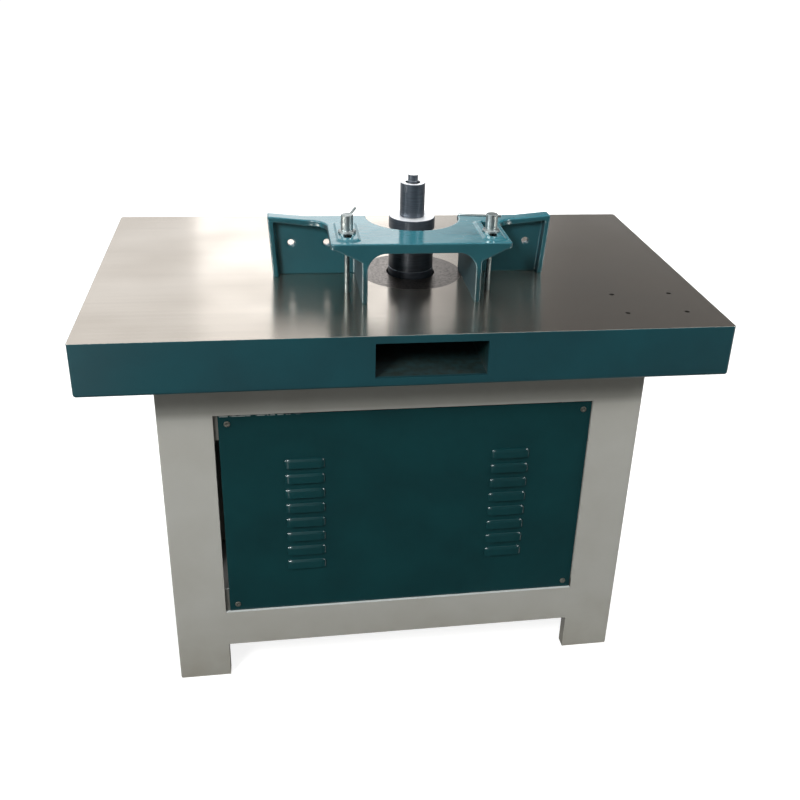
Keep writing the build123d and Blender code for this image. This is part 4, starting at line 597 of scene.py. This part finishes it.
# Rows and columns, in millimetres from the panel's foot and middle
lowest_row = 103.5
row_pitch = 35
column_offset = 210
panel_face = panel_low.y + louvre_rise
panel_middle = (panel_low.x + panel_high.x) / 2
lips = [
    (panel_middle + side * column_offset * MM, panel_low.z + (lowest_row + row_pitch * row) * MM)
    for side in (-1, 1)
    for row in range(louvre_rows)
]
sheet = block("louvred_panel", (panel_low.x, panel_face, panel_low.z), panel_high)
openings = [
    block(
        "opening",
        (x - opening_half, panel_face - opening_margin, z),
        (x + opening_half, panel_high.y + opening_margin, z + opening_height),
    )
    for x, z in lips
]
joined(openings[0], openings[1:])
carved(sheet, openings[0])
eased(sheet, width=0.5 * MM, segments=1)
hoods = []
for x, z in lips:
    # The hood starts as a short box without back or bottom, so that its round ends stretch long
    half = louvre_half / louvre_stretch
    hood = block("hood", (x - half, panel_face - louvre_corner, z), (x + half, panel_face, z + louvre_height))
    opened(hood, lambda face: face.normal.y > 0.9 or face.normal.z < -0.9)
    eased(hood, width=louvre_round, segments=10)
    # The press draws the hood furthest out at its lip and tapers its ends
    for vertex in hood.data.vertices:
        vertex.co.x = x + (vertex.co.x - x) * louvre_stretch
        lean = 1 - louvre_slope * (vertex.co.z - z) / louvre_height
        vertex.co.y = panel_face + (vertex.co.y - panel_face) * lean * louvre_rise / louvre_corner
    finished(hood, "SOLIDIFY", thickness=louvre_skin, offset=-1)
    hoods.append(hood)
joined(sheet, hoods)
smoothed(sheet, degrees=30)
coated(sheet, panel_enamel)
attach(sheet, "base")
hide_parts("rear_panel")

# Panel screws: cross recesses driven into the rounded heads
head_radius = 6 * MM
recess_length = 6 * MM
recess_width = 1.4 * MM
recess_depth = 1.6 * MM
recess_margin = 1 * MM
screws = copied("panel_screws", "cross_head_panel_screws", dull_zinc)
screw_low, screw_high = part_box("panel_screws")
for screw_x in (screw_low.x + head_radius, screw_high.x - head_radius):
    for screw_z in (screw_low.z + head_radius, screw_high.z - head_radius):
        for length, width in ((recess_length, recess_width), (recess_width, recess_length)):
            recess = block(
                "recess",
                (screw_x - length / 2, screw_low.y - recess_margin, screw_z - width / 2),
                (screw_x + length / 2, screw_low.y + recess_depth, screw_z + width / 2),
            )
            carved(screws, recess)
smoothed(screws, degrees=35)
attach(screws, "base")
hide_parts("panel_screws")

# Fence studs: threaded all the way, a little coarser than such a stud is, so that the thread shows
pitch = 1.75 * MM
thread_depth = 1.1 * MM
thread_lap = 0.02 * MM
thread_sides = 24
stud_low, stud_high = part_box("fence_studs")
stud_length = stud_high.z - stud_low.z
stud_radius = (stud_high.y - stud_low.y) / 2
stud_y = (stud_low.y + stud_high.y) / 2
root = stud_radius - thread_depth
turns = int(stud_length / pitch) - 1
# Radius, and share of the pitch, from root to crest and back
ridge = [(root, 0), (root, 0.12), (stud_radius, 0.44), (stud_radius, 0.56), (root, 0.88), (root, 1)]
ridge = [(radius, share * pitch) for radius, share in ridge]
studs = []
for stud_x in (stud_low.x + stud_radius, stud_high.x - stud_radius):
    middle = (stud_x, stud_y, (stud_low.z + stud_high.z) / 2)
    studs.append(rod(thread_sides, root + thread_lap, stud_length, middle))
    foot = (stud_x, stud_y, stud_low.z + pitch / 2)
    studs.append(lathed("thread", ridge, foot, screw_offset=pitch, iterations=turns, steps=thread_sides))
threaded = studs[0]
joined(threaded, studs[1:])
threaded.name = "threaded_fence_studs"
turned_out(threaded)
smoothed(threaded, degrees=25)
coated(threaded, zinc)
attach(threaded, "base")
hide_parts("fence_studs")

# Right clamp nut: turned with its flange, and the loose bar that slides through its head
nut_low, nut_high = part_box("clamp_nut_right")
nut_middle = (nut_low + nut_high) / 2
flange = (nut_high.x - nut_low.x) / 2
flange_chamfer = 2 * MM
barrel = 11.5 * MM
barrel_fillet = 0.6 * MM
barrel_chamfer = 1 * MM
bore = 5.5 * MM
roof_thickness = 6 * MM
flange_height = 5 * MM
roof = nut_high.z - roof_thickness
shoulder = nut_low.z + flange_height
nut_outline = [
    (0, roof),
    (bore, roof),
    (bore, nut_low.z),
    (flange, nut_low.z),
    (flange, shoulder - flange_chamfer),
    (flange - flange_chamfer, shoulder),
    (barrel + barrel_fillet, shoulder),
    (barrel, shoulder + barrel_fillet),
    (barrel, nut_high.z - barrel_chamfer),
    (barrel - barrel_chamfer, nut_high.z),
    (0, nut_high.z),
]
nut_foot = (nut_middle.x, nut_middle.y, 0)
lathe_cuts = {"screw_offset": 0, "iterations": 1, "steps": 64, "merge_threshold": 0.01 * MM}
nut = lathed("barred_clamp_nut", nut_outline, nut_foot, **lathe_cuts)
round_sides = 32
bar_heading = radians(172)
bar_long = 66 * MM
bar_short = 18 * MM
bar_radius = 2.5 * MM
bar_drop = 4.5 * MM
bar_shift = (bar_long - bar_short) / 2
bar_middle = (
    nut_middle.x + bar_shift * cos(bar_heading),
    nut_middle.y + bar_shift * sin(bar_heading),
    nut_high.z - bar_drop,
)
bar = rod(round_sides, bar_radius, bar_long + bar_short, bar_middle, turn=(0, radians(90), bar_heading))
eased(bar, width=1 * MM, segments=3)
joined(nut, [bar])
turned_out(nut)
smoothed(nut, degrees=35)
coated(nut, zinc)
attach(nut, "clamp_nut_right")
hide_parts("clamp_nut_right")

# Switch box: the rim of its lid and the four screws that hold it
rim_wall = 1.5 * MM
rim_depth = 16 * MM
rim_bite = 0.2 * MM
rim_margin = 4 * MM
box_low, box_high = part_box("switch_box")
rim = block(
    "switch_lid_rim",
    (box_low.x - rim_wall, box_high.y - rim_depth, box_low.z - rim_wall),
    (box_high.x + rim_wall, box_high.y - rim_bite, box_high.z + rim_wall),
)
hollow = block(
    "hollow",
    (box_low.x + rim_bite, box_high.y - rim_depth - rim_margin, box_low.z + rim_bite),
    (box_high.x - rim_bite, box_high.y + rim_margin, box_high.z - rim_bite),
)
carved(rim, hollow)
eased(rim, width=0.7 * MM, segments=1)
coated(rim, box_plastic)
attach(rim, "base")
lid_screw_inset = 10 * MM
lid_screw_radius = 4 * MM
lid_screw_length = 3 * MM
lid_screw_rise = 0.9 * MM
slit_half_length = 5 * MM
slit_half_width = 0.5 * MM
slit_floor = 1.2 * MM
slit_margin = 4 * MM
face_on = (radians(90), 0, 0)
lid_screws = []
for screw_x in (box_low.x + lid_screw_inset, box_high.x - lid_screw_inset):
    for screw_z in (box_low.z + lid_screw_inset, box_high.z - lid_screw_inset):
        screw_middle = (screw_x, box_high.y + lid_screw_rise, screw_z)
        lid_screw = rod(round_sides, lid_screw_radius, lid_screw_length, screw_middle, turn=face_on)
        eased(lid_screw, width=1 * MM, segments=3)
        slit = block(
            "slit",
            (screw_x - slit_half_length, box_high.y + slit_floor, screw_z - slit_half_width),
            (screw_x + slit_half_length, box_high.y + slit_margin, screw_z + slit_half_width),
        )
        carved(lid_screw, slit)
        lid_screws.append(lid_screw)
joined(lid_screws[0], lid_screws[1:])
lid_screws[0].name = "slotted_lid_screws"
smoothed(lid_screws[0], degrees=35)
coated(lid_screws[0], zinc)
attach(lid_screws[0], "base")


# Studio: a pale floor, a white surround, soft lamps, and dim cards that only reflections see
white = linear("FFFFFF")
fill_strength = 0.15
floor_size = 80
floor_drop = 0.5 * MM


def seen_white(tree):
    """1 where the eye or a reflection looks, 0 where light is gathered."""
    path = add(tree, "LightPath").outputs
    seen = add(tree, "Math", (path["Is Camera Ray"], path["Is Glossy Ray"]), operation="MAXIMUM")
    return add(tree, "Math", (seen, path["Is Transmission Ray"]), operation="MAXIMUM")


world = bpy.data.worlds.new("white_surround")
world.use_nodes = True
bpy.context.scene.world = world
sky = world.node_tree
sky.nodes.clear()
gathered = add(sky, "Background", {"Color": white, "Strength": fill_strength})
shown = add(sky, "Background", {"Color": white, "Strength": 1.0})
surround = add(sky, "MixShader", (seen_white(sky), gathered, shown))
add(sky, "OutputWorld", {"Surface": surround})

bpy.ops.mesh.primitive_plane_add(size=floor_size, location=(0, 0, -floor_drop))
floor = bpy.context.active_object
floor.name = "studio_floor"
floor_paint = bpy.data.materials.new("pale_studio_floor")
floor_paint.use_nodes = True
ground = floor_paint.node_tree
ground.nodes.clear()
floor_place = add(ground, "TexCoord").outputs["Object"]
floor_spot = add(ground, "SeparateXYZ", (floor_place,)).outputs
# Inside the cabinet the floor lies in the dark
dark_half_width = 0.46
dark_half_depth = 0.17
dark_middle = 0.16
dark_edge = 0.02
off_axis = add(ground, "Math", (floor_spot["X"],), operation="ABSOLUTE")
beside = add(ground, "MapRange", (off_axis, dark_half_width, dark_half_width + dark_edge))
off_middle = add(ground, "Math", (floor_spot["Y"], dark_middle), operation="SUBTRACT")
off_middle = add(ground, "Math", (off_middle,), operation="ABSOLUTE")
behind = add(ground, "MapRange", (off_middle, dark_half_depth, dark_half_depth + dark_edge))
in_open = add(ground, "Math", (beside, behind), operation="MAXIMUM")
# Far from the lamps it glows more, so that it is as white there
lamps_reach = 1.6
lamps_end = 4.0
near_glow = 0.86
away = add(ground, "VectorMath", (floor_place,), operation="LENGTH")
far_glow = add(ground, "MapRange", (away, lamps_reach, lamps_end, near_glow, 1.0))
strength = add(ground, "Math", (in_open, far_glow), operation="MULTIPLY")
glow = add(ground, "Emission", {"Color": white, "Strength": strength})
matt = add(ground, "BsdfDiffuse", {"Color": linear("A2A2A0")})
lit = add(ground, "AddShader", (matt, glow))
pale = add(ground, "MixShader", (seen_white(ground), matt, lit))
add(ground, "OutputMaterial", {"Surface": pale})
floor.data.materials.append(floor_paint)


def lamp(name, place, target, width, height, watts, mirrored=True, lighting=True):
    """Soft rectangular lamp at place, aimed at target: for reflections, for light, or for both."""
    light = bpy.data.lights.new(name, "AREA")
    light.shape = "RECTANGLE"
    light.size = width
    light.size_y = height
    light.energy = watts
    lamp_object = placed(name, light)
    lamp_object.visible_camera = False
    lamp_object.visible_glossy = mirrored
    lamp_object.visible_diffuse = lighting
    lamp_object.location = place
    lamp_object.rotation_euler = (Vector(target) - Vector(place)).to_track_quat("-Z", "Y").to_euler()


right_stand = (2.6, -1.6, 2.2)
cabinet_heart = (0, 0, 0.5)
lamp("key_lamp", (-2.4, -3.2, 3.4), (0, 0, 0.6), width=1.1, height=1.1, watts=180)
lamp("top_lamp", (0.0, 0.5, 3.4), (0, 0, 0.8), width=2.4, height=1.6, watts=110, mirrored=False)
lamp("rear_lamp", (0.9, 3.6, 1.3), cabinet_heart, width=1.0, height=1.0, watts=70, mirrored=False)
lamp("window_lamp", (-0.065, 3.4, 1.9), (-0.065, 0, 0.95), width=1.23, height=0.8, watts=4.1)
lamp("left_lamp", (-3.3, -1.2, 2.3), cabinet_heart, width=1.2, height=0.9, watts=120, lighting=False)
lamp("right_lamp", right_stand, cabinet_heart, width=0.5, height=0.5, watts=24, mirrored=False)
lamp("right_glint_lamp", right_stand, cabinet_heart, width=1.0, height=1.0, watts=85, lighting=False)

# Heights between which a card goes from its low brightness to its high one
card_low = 1.7
card_high = 2.5


def card(name, corners, low, high=None, soft=0.0):
    """Card that only reflections see, one brightness or two; white fades into its left edge if it is soft."""
    high = low if high is None else high
    mesh = bpy.data.meshes.new(name)
    mesh.from_pydata(corners, [], [(0, 1, 2, 3)])
    piece = placed(name, mesh)
    cover = bpy.data.materials.new(name + "_cloth")
    cover.use_nodes = True
    cloth = cover.node_tree
    cloth.nodes.clear()
    spot = add(cloth, "SeparateXYZ", (add(cloth, "TexCoord").outputs["Object"],)).outputs
    shade = add(cloth, "MapRange", (spot["Z"], card_low, card_high, low, high))
    if soft:
        foot, head = corners[0], corners[3]
        lean = (head[0] - foot[0]) / (head[2] - foot[2])
        edge = add(cloth, "Math", (spot["Z"], lean, foot[0] - lean * foot[2]), operation="MULTIPLY_ADD")
        from_edge = add(cloth, "Math", (spot["X"], edge), operation="SUBTRACT")
        shade = add(cloth, "MapRange", (from_edge, 0.0, soft, 1.0, shade))
    dim = add(cloth, "Emission", {"Color": white, "Strength": shade})
    add(cloth, "OutputMaterial", {"Surface": dim})
    mesh.materials.append(cover)
    piece.visible_camera = False
    piece.visible_diffuse = False
    piece.visible_shadow = False


def upright(left, right, low, high):
    """Corners of an upright card over two floor points, between two heights."""
    return [(*left, low), (*right, low), (*right, high), (*left, high)]


def lying(height, *corners):
    """Corners of a card that lies just over the floor."""
    return [(*corner, height) for corner in corners]


back_corners = [(1.15, 3.2, 1.4), (5.0, 2.0, 1.4), (5.0, 2.0, 3.4), (-0.1, 3.2, 3.4)]
card("back_card", back_corners, 0.13, 0.07, soft=0.3)
card("upper_card", upright((-0.1, 3.2), (5.0, 2.0), low=3.4, high=7.0), 0.07)
card("front_card", upright((-0.1, -5.0), (6.0, -4.0), low=0.2, high=9.0), 0.05)
card("pale_card", upright((-1.0, -5.0), (-0.1, -5.0), low=0.2, high=9.0), 0.45)
card("left_card", upright((-4.0, -3.0), (-4.0, 2.0), low=0.0, high=2.2), 0.12)
card("right_card", upright((5.0, -4.0), (5.0, 2.0), low=0.0, high=3.5), 0.06)
card("floor_card", lying(4 * MM, (-2.0, -6.0), (5.0, -6.0), (1.6, -0.4), (-0.5, -0.4)), 0.03)
card("side_card", lying(3 * MM, (-4.0, -1.3), (0.2, -1.3), (0.2, 0.3), (-4.0, 0.3)), 0.03)
card("corner_card", lying(3 * MM, (-2.4, -2.3), (-1.15, -2.3), (-1.15, -1.3), (-2.4, -1.3)), 0.03)

# Camera at the photograph's angle, from the fitted view
eye = Vector((-0.247865, -1.894829, 1.536060))
forward = Vector((0.16904638, 0.8829485, -0.43797861))
right = Vector((0.98503612, -0.16648783, 0.04456064))
up = Vector((0.03357336, 0.43895757, 0.89788033))
view = bpy.data.cameras.new("photograph_view")
view.sensor_width = 36.0
view.lens = 43.129
view.shift_x = -0.05583
view.shift_y = -0.03463
view.clip_start = 0.05
view.clip_end = 200.0
camera = placed("photograph_view", view)
turn = Matrix((right, up, -forward)).transposed()
camera.matrix_world = Matrix.Translation(eye) @ turn.to_4x4()
bpy.context.scene.camera = camera
bpy.context.scene.view_settings.view_transform = "Standard"

bpy.context.view_layer.update()
